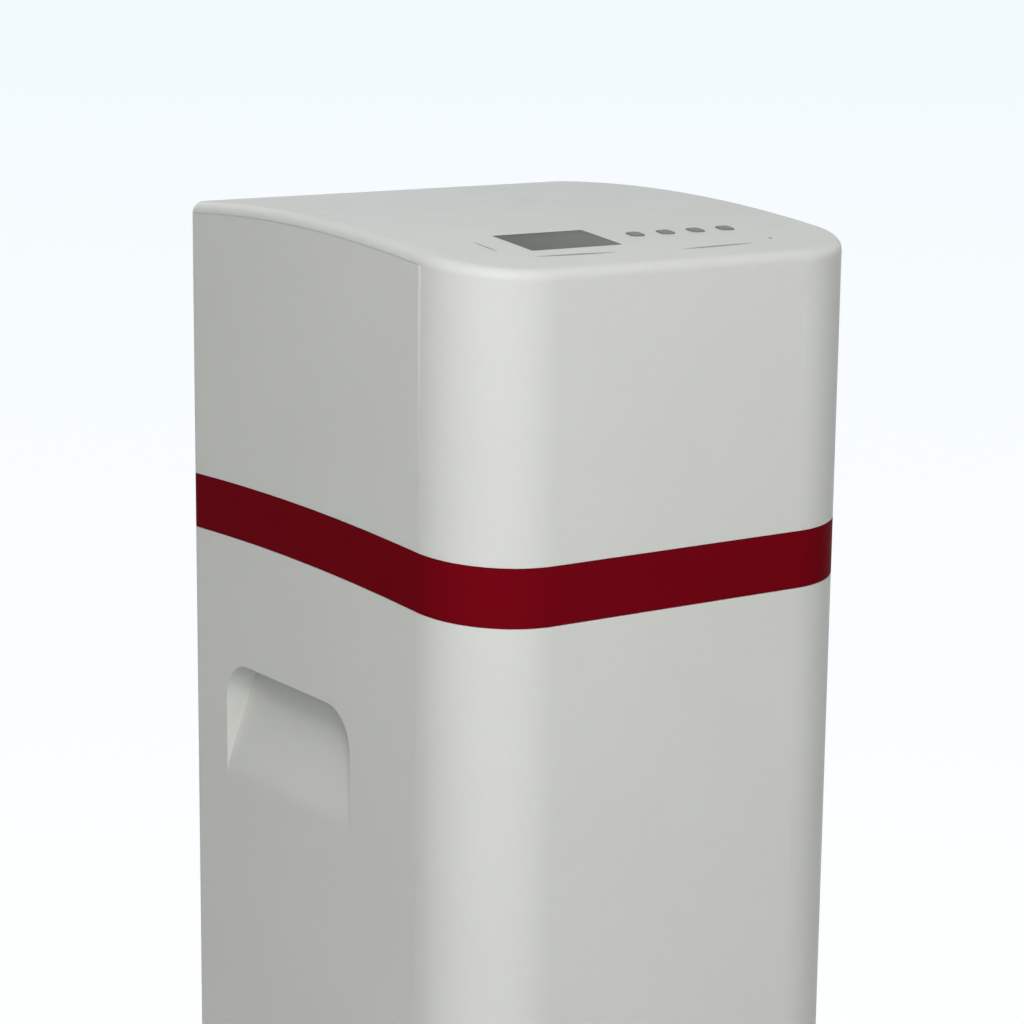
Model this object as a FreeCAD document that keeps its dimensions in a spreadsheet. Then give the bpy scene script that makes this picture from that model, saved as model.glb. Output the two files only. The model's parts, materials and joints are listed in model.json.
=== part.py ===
"""Whole house water filter: a cabinet whose hood lifts off a filter vessel, its valve and its bypass.

Millimetres. X points right seen from the front, Y to the back, Z up. The origin is on the floor, under the
middle of the cabinet. Each independent size is a cell of the sheet, and every other length is a formula of
those cells.
"""

import FreeCAD, Part
import math
import os

import Sketcher
from FreeCAD import Placement, Rotation, Vector

SIZES = {
    # Cabinet: the room round the vessel sets its width and depth
    "side_space": 38.5,
    "front_space": 43.5,
    "rear_space": 73.5,
    "shell_wall": 3,
    "front_corner_radius": 65,
    "rear_corner_radius": 15,
    "foot_height": 10,
    "foot_radius": 18,
    "foot_taper": 2,
    "foot_inset": 45,
    "foot_screw_radius": 2.1,
    "foot_head_radius": 5,
    "foot_head_height": 2.5,
    "foot_head_sink": 4,
    "foot_boss_radius": 6.3,
    "foot_boss_cover": 2,
    "tray_floor": 4,
    "tray_skirt": 15,
    "tray_rim": 20,
    "tray_setback": 1.5,
    "joint_gap": 0.3,
    # Arched trim band between the cabinet and the hood
    "arch_setback": 246,
    "band_drop": 12,
    "band_height": 40,
    "band_arch_radius": 2945,
    "band_gap": 0.4,
    "lip_height": 12,
    # Hood: a front cover that carries the domed top, and a rear shell behind the seam
    "hood_rise": 232,
    "top_arch_radius": 1630,
    "edge_radius": 8,
    "seam_setback": 64,
    "seam_gap": 0.4,
    "service_width": 200,
    "service_height": 142,
    "service_corner_radius": 20,
    "lug_width": 14,
    "lug_depth": 8,
    "lug_height": 28,
    "lug_spacing": 204,
    # Scooped grip in each side
    "grip_drop": 95,
    "grip_straight": 16,
    "grip_ramp": 63,
    "grip_setback": 150,
    "grip_length": 174,
    "grip_depth": 22,
    "grip_corner_radius": 30,
    # Control panel in the dome
    "panel_setback": 72,
    "window_left": 54.3,
    "window_width": 74,
    "window_length": 48,
    "window_corner_radius": 2,
    "window_ledge": 3,
    "lens_thickness": 1.5,
    "lens_recess": 0.2,
    "button_right": 50.1,
    "button_pitch": 26,
    "button_size": 11,
    "button_corner_radius": 2.8,
    "button_proud": 0.8,
    "button_travel": 0.8,
    "button_flange": 1.5,
    "flange_thickness": 1.2,
    "light_right": 102,
    "light_forward": 34.5,
    "light_radius": 1.5,
    "light_flange": 1,
    "light_flange_drop": 0.5,
    "module_width": 80,
    "module_length": 54,
    "module_height": 7,
    "board_thickness": 1.6,
    "board_left": 104,
    "board_right": 114,
    "board_front": 44,
    "board_back": 32,
    "board_screw_inset": 5.5,
    "board_screw_radius": 1.15,
    "board_screw_grip": 6.3,
    "board_boss_radius": 4,
    "switch_size": 6,
    "plunger_rise": 1,
    "plunger_gap": 0.1,
    # Pressure vessel with its media
    "vessel_radius": 128.5,
    "vessel_height": 880,
    "vessel_wall": 3.5,
    "dome_radius": 95,
    "neck_radius": 44,
    "neck_bore_radius": 32,
    "neck_height": 20,
    "boot_inset": 3.5,
    "boot_height": 50,
    "boot_rise": 1.2,
    "boot_pad": 4,
    "boot_ring": 12,
    "gravel_depth": 95,
    "sand_depth": 100,
    "carbon_depth": 420,
    "media_gap": 0.2,
    "riser_radius": 13.3,
    "riser_wall": 2.3,
    "riser_gap": 0.2,
    "basket_radius": 28,
    "basket_height": 60,
    "basket_wall": 2.5,
    "basket_lift": 3,
    "slot_width": 2,
    "slot_count": 10,
    # Valve on the neck
    "spigot_length": 25,
    "spigot_radius": 31.5,
    "spigot_bore_radius": 24,
    "flange_radius": 50,
    "flange_height": 12,
    "barrel_radius": 37,
    "barrel_height": 125,
    "chamber_radius": 30.5,
    "chamber_depth": 27,
    "passage_radius": 10,
    "throat_rise": 17.5,
    "riser_socket": 15,
    "ring_section": 2.2,
    "ring_side_gap": 0.2,
    "port_rise": 70,
    "port_spacing": 55,
    "port_radius": 17,
    "port_bore_radius": 12.5,
    "port_reach": 62,
    "collar_radius": 20,
    "collar_length": 6,
    "drain_rise": 84,
    "drain_radius": 11,
    "drain_bore_radius": 6,
    "drain_reach": 52,
    "drain_nut_lip": 2,
    "elbow_radius": 9,
    "elbow_tail_radius": 8,
    "elbow_reach": 22,
    "elbow_drop": 24,
    "elbow_chamfer": 3,
    "barb_radius": 6.5,
    "barb_bore_radius": 4.5,
    "barb_length": 30,
    # Ceramic discs and their drive
    "seal_thickness": 2,
    "disc_thickness": 6,
    "disc_radius": 29.8,
    "disc_port_radius": 6,
    "disc_port_circle": 18,
    "disc_gap": 0.1,
    "moving_disc_inset": 1,
    "shaft_radius": 8,
    "shaft_head_radius": 26,
    "shaft_head_thickness": 6,
    "shaft_gap": 0.06,
    "hub_shaft_radius": 6,
    "shaft_ring_section": 1.05,
    "shaft_ring_gap": 0.25,
    "cap_plate": 8,
    "plate_thickness": 4,
    "plate_margin": 5,
    "plate_lip": 3,
    "plate_hole_gap": 1,
    "plate_screw_grip": 12,
    "gear_lift": 6,
    "gear_module": 1.25,
    "gear_teeth": 72,
    "pinion_teeth": 12,
    "gear_thickness": 10,
    "gear_web": 4,
    "gear_hub_radius": 14,
    "gear_rim": 5,
    "gear_window_radius": 6,
    "gear_washer_radius": 9.8,
    "washer_thickness": 1,
    "magnet_radius": 2.5,
    "magnet_depth": 3,
    "backlash": 0.35,
    "motor_radius": 15,
    "gearbox_length": 22,
    "motor_can_radius": 12.5,
    "motor_length": 30,
    "motor_shaft_radius": 3,
    "motor_screw_reach": 10.8,
    "motor_screw_grip": 6,
    "position_board_length": 24,
    "position_board_width": 18,
    "hall_sensor_size": 4,
    "hall_sensor_gap": 1.5,
    # Flow meter in the outlet port
    "cartridge_wall": 0.9,
    "cartridge_fit": 0.05,
    "cartridge_length": 22,
    "vane_thickness": 1.2,
    "impeller_length": 12,
    "impeller_hub_radius": 3.2,
    "axle_radius": 1,
    "blade_count": 5,
    "blade_thickness": 1,
    "blade_lean": 32,
    "blade_gap": 0.4,
    "sensor_radius": 4,
    "sensor_wall": 2.5,
    "sensor_floor": 1.5,
    "sensor_boss_height": 6,
    "sensor_head_lip": 1.5,
    "sensor_head_height": 6,
    # Bypass behind the valve
    "bypass_length": 88,
    "rotor_setback": 44,
    "rotor_radius": 14,
    "rotor_wall": 4,
    "rotor_house_radius": 19,
    "rotor_house_height": 26,
    "rotor_gap": 0.06,
    "head_inset": 1,
    "knob_stem_radius": 7,
    "knob_radius": 15,
    "knob_reach": 25,
    "knob_height": 12,
    "knob_socket_depth": 8.4,
    "clip_thickness": 2.5,
    "clip_gap": 0.1,
    "clip_lip_gap": 0.5,
    "clip_overlap": 2,
    "clip_mouth": 20.4,
    "face_ring_section": 1.3,
    "face_ring_gap": 0.1,
    "thread_radius": 16.6,
    "adapter_collar": 14,
    "adapter_relief": 1,
    "port_recess": 5,
    # Fasteners and the lead's way in
    "screw_radius": 1.7,
    "screw_head_radius": 3,
    "screw_head_height": 1.8,
    "grommet_radius": 9,
    "grommet_inset": 50,
    "grommet_drop": 45,
}

LEFT = 1
RIGHT = -1
SLACK = 10  # How far a cutting solid reaches past what it cuts
BITE = 1  # How far solids that are fused reach into each other
DISC_PORTS = 6
MOVING_DISC_PORTS = 3
GEAR_WINDOWS = 6

document = FreeCAD.newDocument("water_filter")
nodes = {}


class Length:
    """A length: its number now, and the formula that ties it to the sheet's cells."""

    def __init__(self, number, formula):
        self.number = float(number)
        self.formula = formula

    def joined(self, other, sign, number):
        return Length(number, f"({self.formula} {sign} {other.formula})")

    def __add__(self, other):
        other = length(other)
        return self.joined(other, "+", self.number + other.number)

    def __radd__(self, other):
        return length(other) + self

    def __sub__(self, other):
        other = length(other)
        return self.joined(other, "-", self.number - other.number)

    def __rsub__(self, other):
        return length(other) - self

    def __mul__(self, other):
        other = length(other)
        return self.joined(other, "*", self.number * other.number)

    def __rmul__(self, other):
        return length(other) * self

    def __truediv__(self, other):
        other = length(other)
        return self.joined(other, "/", self.number / other.number)

    def __neg__(self):
        return length(0) - self


def length(value):
    return value if isinstance(value, Length) else Length(value, f"{value:g}")


def root(value):
    return Length(math.sqrt(value.number), f"sqrt({value.formula})")


class Sizes:
    """The sheet of driving sizes, each also an attribute that goes into formulas."""

    def __init__(self, cells):
        sheet = document.addObject("Spreadsheet::Sheet", "size")
        for row, (name, number) in enumerate(cells.items(), start=1):
            sheet.set(f"A{row}", name)
            sheet.set(f"B{row}", str(number))
            sheet.setAlias(f"B{row}", name)
            setattr(self, name, Length(number, f"size.{name}"))


s = Sizes(SIZES)
document.recompute()


# Drawing and modelling helpers


def tie(thing, path, value):
    """Binds one property of an object to a formula of the sheet."""
    thing.setExpression(path, length(value).formula)


def place(thing, x=0, y=0, z=0):
    for axis, value in (("x", x), ("y", y), ("z", z)):
        tie(thing, f"Placement.Base.{axis}", value)
    return thing


def aim(thing, along):
    """Turns an object that was made along Z so that it runs along X or Y."""
    turns = {"x": Rotation(Vector(0, 1, 0), 90), "y": Rotation(Vector(1, 0, 0), -90), "z": Rotation()}
    thing.Placement = Placement(Vector(), turns[along])
    return thing


def circle(x, y, radius):
    return ("circle", length(x), length(y), length(radius))


def rectangle(x_low, x_high, y_low, y_high):
    return [(x_low, y_low), (x_high, y_low), (x_high, y_high), (x_low, y_high)]


def rounded(x_low, x_high, y_low, y_high, radius):
    """Rectangle with round corners: each arc ends at the corner that names it."""
    x_low, x_high, y_low, y_high = map(length, (x_low, x_high, y_low, y_high))
    return [
        (x_low + radius, y_low, radius, LEFT),
        (x_high - radius, y_low),
        (x_high, y_low + radius, radius, LEFT),
        (x_high, y_high - radius),
        (x_high - radius, y_high, radius, LEFT),
        (x_low + radius, y_high),
        (x_low, y_high - radius, radius, LEFT),
        (x_low, y_low + radius),
    ]


def arc_between(start, end, radius, side):
    """The short arc from start to end, with its centre on the left or right of the way."""
    way = end - start
    middle = (start + end) / 2
    square = max(radius * radius - way.Length * way.Length / 4, 0)
    across = Vector(-way.y, way.x, 0).normalize()
    centre = middle + across * math.sqrt(square) * side
    first, last = (start, end) if side == LEFT else (end, start)
    begin = math.atan2(first.y - centre.y, first.x - centre.x)
    finish = math.atan2(last.y - centre.y, last.x - centre.x)
    if finish <= begin:
        finish += 2 * math.pi
    return Part.ArcOfCircle(Part.Circle(centre, Vector(0, 0, 1), radius), begin, finish)


def hold(geometry, end, x, y):
    """Constraints that hold a sketch point at x, y, each with the length that drives it."""
    held = []
    for kind, value, axis in (("DistanceX", x, -2), ("DistanceY", y, -1)):
        if abs(value.number) < 1e-9:
            held.append((Sketcher.Constraint("PointOnObject", geometry, end, axis), None))
        elif value.number > 0:
            held.append((Sketcher.Constraint(kind, -1, 1, geometry, end, value.number), value))
        else:
            held.append((Sketcher.Constraint(kind, geometry, end, -1, 1, -value.number), -value))
    return held


def draw(sketch, loop):
    """One closed loop: a circle, or corners (x, y), with (x, y, radius, side) where an arc leads to one."""
    if loop[0] == "circle":
        _, x, y, radius = loop
        centre = Vector(x.number, y.number, 0)
        index = sketch.addGeometry(Part.Circle(centre, Vector(0, 0, 1), radius.number), False)
        rules = hold(index, 3, x, y) + [(Sketcher.Constraint("Radius", index, radius.number), radius)]
    else:
        corners = [tuple(length(v) for v in step[:2]) for step in loop]
        points = [Vector(x.number, y.number, 0) for x, y in corners]
        shapes = []
        ends = []
        for i, step in enumerate(loop):
            if len(step) == 4:
                shapes.append(arc_between(points[i - 1], points[i], length(step[2]).number, step[3]))
                ends.append((1, 2) if step[3] == LEFT else (2, 1))
            else:
                shapes.append(Part.LineSegment(points[i - 1], points[i]))
                ends.append((1, 2))
        first = sketch.addGeometry(shapes, False)[0]
        rules = []
        for i, step in enumerate(loop):
            following = (i + 1) % len(loop)
            meeting = (first + i, ends[i][1], first + following, ends[following][0])
            rules.append((Sketcher.Constraint("Coincident", *meeting), None))
            rules += hold(first + i, ends[i][1], *corners[i])
            if len(step) == 4:
                radius = length(step[2])
                rules.append((Sketcher.Constraint("Radius", first + i, radius.number), radius))
    indexes = sketch.addConstraint([rule for rule, _ in rules])
    for index, (_, value) in zip(indexes, rules):
        if value is not None:
            sketch.setExpression(f"Constraints[{index}]", value.formula)


def new_sketch(body, name, plane, loops, offset=0):
    """A sketch on one of the body's own origin planes, moved along the plane's normal by offset."""
    sketch = body.newObject("Sketcher::SketchObject", name)
    support = next(f for f in body.Origin.OriginFeatures if f.Role == plane)
    sketch.AttachmentSupport = [(support, "")]
    sketch.MapMode = "FlatFace"
    tie(sketch, "AttachmentOffset.Base.z", offset)
    for loop in loops:
        draw(sketch, loop)
    return sketch


def pad(body, name, plane, loops, low, high):
    """Adds an outline to a body, padded from low to high. The XZ plane's normal points to the front."""
    low, high = length(low), length(high)
    start = -high if plane == "XZ_Plane" else low
    sketch = new_sketch(body, name + "_outline", plane, loops, start)
    feature = body.newObject("PartDesign::Pad", name)
    feature.Profile = sketch
    tie(feature, "Length", high - low)
    return feature


def prism(name, plane, loops, low, high):
    body = document.addObject("PartDesign::Body", name)
    pad(body, name + "_pad", plane, loops, low, high)
    return body


def turned(name, corners, along="z"):
    """A revolved piece: corners are (radius, height) along its axis."""
    body = document.addObject("PartDesign::Body", name)
    sketch = new_sketch(body, name + "_section", "XZ_Plane", [corners])
    feature = body.newObject("PartDesign::Revolution", name + "_turned")
    feature.Profile = sketch
    feature.ReferenceAxis = (sketch, ["V_Axis"])
    feature.Angle = 360
    return aim(body, along)


def tube(outer, inner, low, high):
    """Section of a plain tube, for turned()."""
    return rectangle(inner, outer, low, high)


def hole_z(name, radius, x, y, low, high):
    """A round upright hole, as the solid that cuts it."""
    return place(turned(name, tube(radius, 0, low, high)), x, y)


def seal_ring(name, radius, half, level, along="z"):
    """A sealing ring with an eight-sided section, half thick each way from its middle circle."""
    edge = half * (math.sqrt(2) - 1)
    corners = [
        (radius - edge, level - half),
        (radius + edge, level - half),
        (radius + half, level - edge),
        (radius + half, level + edge),
        (radius + edge, level + half),
        (radius - edge, level + half),
        (radius - half, level + edge),
        (radius - half, level - edge),
    ]
    return turned(name, corners, along)


def fuse(name, *shapes):
    result = document.addObject("Part::MultiFuse", name)
    result.Shapes = list(shapes)
    result.Refine = True
    return result


def cut(name, base, *tools):
    result = document.addObject("Part::Cut", name)
    result.Base = base
    result.Tool = tools[0] if len(tools) == 1 else fuse(name + "_tools", *tools)
    return result


def common(name, base, tool):
    result = document.addObject("Part::Common", name)
    result.Base = base
    result.Tool = tool
    return result


def group(name, *shapes):
    """Identical loose pieces that share one node."""
    result = document.addObject("Part::Compound", name)
    result.Links = list(shapes)
    return result


def mirrored(name, source):
    """The same form on the other side of the middle plane."""
    result = document.addObject("Part::Mirroring", name)
    result.Source = source
    result.Normal = Vector(1, 0, 0)
    return result


def node(name, shape):
    """Names a finished sub-part, which becomes one file."""
    shape.Label = name
    nodes[name] = shape
    return shape


# Levels and places that several pieces share

half_width = s.vessel_radius + s.side_space + s.shell_wall
half_depth = s.vessel_radius + s.shell_wall + (s.front_space + s.rear_space) / 2
front = -half_depth
vessel_y = (s.front_space - s.rear_space) / 2
arch_y = front + s.arch_setback
floor_top = s.foot_height + s.tray_floor
shell_bottom = s.foot_height + s.tray_skirt
vessel_bottom = floor_top + s.boot_pad
neck_top = vessel_bottom + s.vessel_height
crest = neck_top + s.hood_rise
band_crest = neck_top - s.band_drop
band_top_crest = band_crest + s.band_height
port_z = neck_top + s.port_rise
barrel_top = neck_top + s.barrel_height
cap_top = barrel_top + s.cap_plate
plate_top = cap_top + s.plate_thickness
port_end = vessel_y + s.port_reach
boot_radius = s.vessel_radius - s.boot_inset
throat = neck_top + s.flange_height + s.throat_rise


def plan(inset=0):
    """The cabinet's outline from above, drawn in by inset: large front corners and small rear ones."""
    side = half_width - inset
    ends = half_depth - inset
    large = s.front_corner_radius - inset
    small = s.rear_corner_radius - inset
    return [
        (large - side, -ends, large, LEFT),
        (side - large, -ends),
        (side, large - ends, large, LEFT),
        (side, ends - small),
        (side - small, ends, small, LEFT),
        (small - side, ends),
        (-side, ends - small, small, LEFT),
        (-side, large - ends),
    ]


def arch_z(top, radius, y):
    """Height of an arch over the cabinet's side at depth y."""
    reach = y - arch_y
    return top - radius + root(radius * radius - reach * reach)


def side_zone(name, low, high):
    """All the space between two levels. A level is a height, or an arch's crest and radius."""
    near, far = front - SLACK, half_depth + SLACK

    def level(edge, y):
        return arch_z(edge[0], edge[1], y) if isinstance(edge, tuple) else edge

    def corner(y, edge, side):
        point = (y, level(edge, y))
        return point + (edge[1], side) if isinstance(edge, tuple) else point

    loop = [
        (near, level(low, near)),
        corner(far, low, RIGHT),
        (far, level(high, far)),
        corner(near, high, LEFT),
    ]
    return prism(name, "YZ_Plane", [loop], -half_width - SLACK, half_width + SLACK)


band_bottom_arch = (band_crest, s.band_arch_radius)
band_top_arch = (band_top_crest, s.band_arch_radius + s.band_height)


# Cabinet with its scooped grips


def grip_scoop(name, grow):
    """The space a hand reaches into: deep under its top edge, with a floor that curves out below."""
    top = band_crest - s.grip_drop
    ramp_start = top - s.grip_straight
    ramp_radius = (s.grip_depth * s.grip_depth + s.grip_ramp * s.grip_ramp) / (s.grip_depth * 2)
    outside = -half_width
    inmost = outside + s.grip_depth + grow
    centre_gap = ramp_radius - s.grip_depth
    bottom = ramp_start - root((ramp_radius + grow) * (ramp_radius + grow) - centre_gap * centre_gap)
    section = [
        (outside - SLACK, top + grow),
        (outside - SLACK, bottom),
        (outside, bottom),
        (inmost, ramp_start, ramp_radius + grow, LEFT),
        (inmost, top + grow),
    ]
    near = front + s.grip_setback - grow
    far = front + s.grip_setback + s.grip_length + grow
    radius = s.grip_corner_radius + grow
    face = [
        (near, bottom - SLACK),
        (far, bottom - SLACK),
        (far, top + grow - radius),
        (far - radius, top + grow, radius, LEFT),
        (near + radius, top + grow),
        (near, top + grow - radius, radius, LEFT),
    ]
    across = prism(name + "_section", "XZ_Plane", [section], near - SLACK, far + SLACK)
    along = prism(name + "_face", "YZ_Plane", [face], outside - SLACK, inmost + SLACK)
    return common(name, across, along)


def make_cabinet():
    block = prism("cabinet_block", "XY_Plane", [plan()], shell_bottom, band_crest)
    below_band = side_zone("below_band", shell_bottom, (band_crest - s.band_gap, s.band_arch_radius))
    outer = common("cabinet_outer", block, below_band)
    space = prism("cabinet_space", "XY_Plane", [plan(s.shell_wall)], shell_bottom - SLACK, band_crest + SLACK)
    backing = grip_scoop("grip_backing", s.shell_wall)
    inner = cut("cabinet_inner", space, backing, mirrored("grip_backing_right", backing))
    scoop = grip_scoop("grip_scoop", length(0))
    grommet_x = half_width - s.grommet_inset
    grommet_z = band_crest - s.grommet_drop
    lead_hole = prism(
        "lead_hole",
        "XZ_Plane",
        [circle(grommet_x, grommet_z, s.grommet_radius)],
        half_depth - s.shell_wall - SLACK,
        half_depth + SLACK,
    )
    tools = [inner, scoop, mirrored("grip_scoop_right", scoop), lead_hole]
    node("cabinet_shell", cut("cabinet_shell", outer, *tools))

    inside = half_depth - s.shell_wall
    flange_radius = s.grommet_radius + s.shell_wall
    section = [
        (s.grommet_radius / 2, inside - s.shell_wall),
        (flange_radius, inside - s.shell_wall),
        (flange_radius, inside),
        (s.grommet_radius, inside),
        (s.grommet_radius, half_depth),
        (s.grommet_radius / 2, half_depth),
    ]
    node("cable_grommet", place(turned("cable_grommet", section, "y"), grommet_x, 0, grommet_z))


def make_base():
    feet = []
    screws = []
    bosses = []
    shafts = []
    screw = s.foot_screw_radius
    head = s.foot_head_radius
    well = head + s.joint_gap
    ledge = s.foot_head_sink
    screw_top = floor_top + s.boot_pad
    for right in (-1, 1):
        for back in (-1, 1):
            x = (half_width - s.foot_inset) * right
            y = (half_depth - s.foot_inset) * back
            foot = [
                (well, 0),
                (s.foot_radius, 0),
                (s.foot_radius - s.foot_taper, s.foot_height),
                (screw, s.foot_height),
                (screw, ledge),
                (well, ledge),
            ]
            feet.append(place(turned("foot", foot), x, y))
            bolt = [
                (0, ledge - s.foot_head_height),
                (head, ledge - s.foot_head_height),
                (head, ledge),
                (screw, ledge),
                (screw, screw_top),
                (0, screw_top),
            ]
            screws.append(place(turned("foot_screw", bolt), x, y))
            boss = tube(s.foot_boss_radius, 0, s.foot_height + BITE, screw_top + s.foot_boss_cover)
            bosses.append(place(turned("foot_boss", boss), x, y))
            shafts.append(place(turned("foot_hole", tube(screw, 0, 0, screw_top)), x, y))
    node("rubber_feet", group("rubber_feet", *feet))
    node("foot_screws", group("foot_screws", *screws))

    fit = s.shell_wall + s.joint_gap
    skirt = prism("tray_skirt_block", "XY_Plane", [plan(s.tray_setback)], s.foot_height, shell_bottom)
    rim = prism("tray_rim_block", "XY_Plane", [plan(fit)], s.foot_height, shell_bottom + s.tray_rim)
    hollow = prism(
        "tray_hollow", "XY_Plane", [plan(fit + s.shell_wall)], floor_top, shell_bottom + s.tray_rim + SLACK
    )
    pan = cut("tray_pan", fuse("tray_block", skirt, rim), hollow)
    seat_radius = boot_radius + s.joint_gap
    seat = tube(seat_radius + s.shell_wall, seat_radius, s.foot_height + BITE, floor_top + s.boot_ring)
    ring = place(turned("boot_seat", seat), 0, vessel_y)
    node("base_tray", cut("base_tray", fuse("tray_with_bosses", pan, ring, *bosses), *shafts))


def wall_ring(name, outer_inset, inner_inset, zone):
    """A piece of upright wall that follows the cabinet's outline, kept within a zone."""
    low = neck_top - s.hood_rise
    ring = prism(name + "_ring", "XY_Plane", [plan(outer_inset), plan(inner_inset)], low, crest)
    return common(name, ring, zone)


def make_trim_band():
    fit = s.shell_wall + s.joint_gap
    zone = side_zone("band_zone", band_bottom_arch, band_top_arch)
    face = wall_ring("band_face", 0, fit + s.shell_wall, zone)
    lower = (band_crest - s.lip_height, s.band_arch_radius - s.lip_height)
    upper = (band_top_crest + s.lip_height, s.band_arch_radius + s.band_height + s.lip_height)
    lips = wall_ring("band_lips", fit, fit + s.shell_wall, side_zone("lip_zone", lower, upper))
    node("trim_band", fuse("trim_band", face, lips))


# Hood


def domed_block(name, inset):
    """The hood's outer form, or the space inside it when drawn in by the wall, with its rolled top edge."""
    body = document.addObject("PartDesign::Body", name)
    top = crest - inset
    radius = s.top_arch_radius - inset
    pad(body, name + "_pad", "XY_Plane", [plan(inset)], band_crest, crest + SLACK)
    near, far = front - SLACK, half_depth + SLACK
    above = [
        (near, arch_z(top, radius, near)),
        (far, arch_z(top, radius, far), radius, RIGHT),
        (far, crest + SLACK * 2),
        (near, crest + SLACK * 2),
    ]
    arch = body.newObject("PartDesign::Pocket", name + "_arch")
    arch.Profile = new_sketch(body, name + "_arch_side", "YZ_Plane", [above])
    arch.SideType = "Symmetric"
    tie(arch, "Length", half_width * 2 + SLACK)
    document.recompute()
    edges = []
    for index, edge in enumerate(arch.Shape.Edges, start=1):
        middle = edge.valueAt((edge.FirstParameter + edge.LastParameter) / 2)
        if abs(middle.z - arch_z(top, radius, length(middle.y)).number) < 0.01:
            edges.append(f"Edge{index}")
    rolled = body.newObject("PartDesign::Fillet", name + "_rolled_edge")
    rolled.Base = (arch, edges)
    tie(rolled, "Radius", s.edge_radius - inset)
    return body


def cover_zone(name, gap):
    """The space of the front cover, grown by gap: before the seam, and above the rolled edge's lower line."""
    near, far = front - SLACK, half_depth + SLACK
    seam = front + s.seam_setback + gap
    drop = s.edge_radius + gap
    rim_top = crest - drop
    rim_radius = s.top_arch_radius - drop
    loop = [
        (near, band_crest - SLACK),
        (seam, band_crest - SLACK),
        (seam, arch_z(rim_top, rim_radius, seam)),
        (far, arch_z(rim_top, rim_radius, far), rim_radius, RIGHT),
        (far, crest + SLACK),
        (near, crest + SLACK),
    ]
    return prism(name, "YZ_Plane", [loop], -half_width - SLACK, half_width + SLACK)


panel_y = front + s.panel_setback
panel_slope = f"asin({((arch_y - panel_y) / s.top_arch_radius).formula})"
under_skin = -s.shell_wall - s.joint_gap
board_top = under_skin - s.module_height
board_bottom = board_top - s.board_thickness
board_screw_tip = board_top + s.board_screw_grip


def set_in_panel(thing, x=0, y=0):
    """Moves a piece drawn on the level to the control panel, where the dome slopes down to the front."""
    cosine = f"cos({panel_slope})"
    sine = f"sin({panel_slope})"
    place(thing, x, panel_y, arch_z(crest, s.top_arch_radius, panel_y))
    offset = length(y)
    thing.setExpression("Placement.Base.y", f"{panel_y.formula} + {offset.formula} * {cosine}")
    height = arch_z(crest, s.top_arch_radius, panel_y).formula
    thing.setExpression("Placement.Base.z", f"{height} + {offset.formula} * {sine}")
    thing.Placement.Rotation.Axis = Vector(1, 0, 0)
    thing.setExpression("Placement.Rotation.Axis.x", "1")
    thing.setExpression("Placement.Rotation.Axis.y", "0")
    thing.setExpression("Placement.Rotation.Axis.z", "0")
    thing.setExpression("Placement.Rotation.Angle", panel_slope)
    return thing


def square(size, radius):
    return rounded(-size / 2, size / 2, -size / 2, size / 2, radius)


def window(grow, radius):
    x = -s.window_left
    return rounded(
        x - s.window_width / 2 - grow,
        x + s.window_width / 2 + grow,
        -s.window_length / 2 - grow,
        s.window_length / 2 + grow,
        radius,
    )


button_places = [s.button_right + s.button_pitch * step for step in (-1.5, -0.5, 0.5, 1.5)]
board_screw_places = [
    (x, y)
    for x in (s.board_screw_inset - s.board_left, s.board_right - s.board_screw_inset)
    for y in (s.board_screw_inset - s.board_front, s.board_back - s.board_screw_inset)
]


def lug_boxes():
    """Blocks under the cover's rear edge that take the screws through the back wall."""
    back = half_depth - s.shell_wall - s.joint_gap
    low = arch_z(crest, s.top_arch_radius, half_depth) - s.edge_radius / 2 - s.lug_height
    high = arch_z(crest - s.shell_wall / 2, s.top_arch_radius, half_depth)
    blocks = []
    for right in (-1, 1):
        x = s.lug_spacing / 2 * right
        loop = rectangle(x - s.lug_width / 2, x + s.lug_width / 2, back - s.lug_depth, back)
        blocks.append(prism("cover_lug", "XY_Plane", [loop], low, high))
    return blocks, low + s.lug_width / 2


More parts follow.
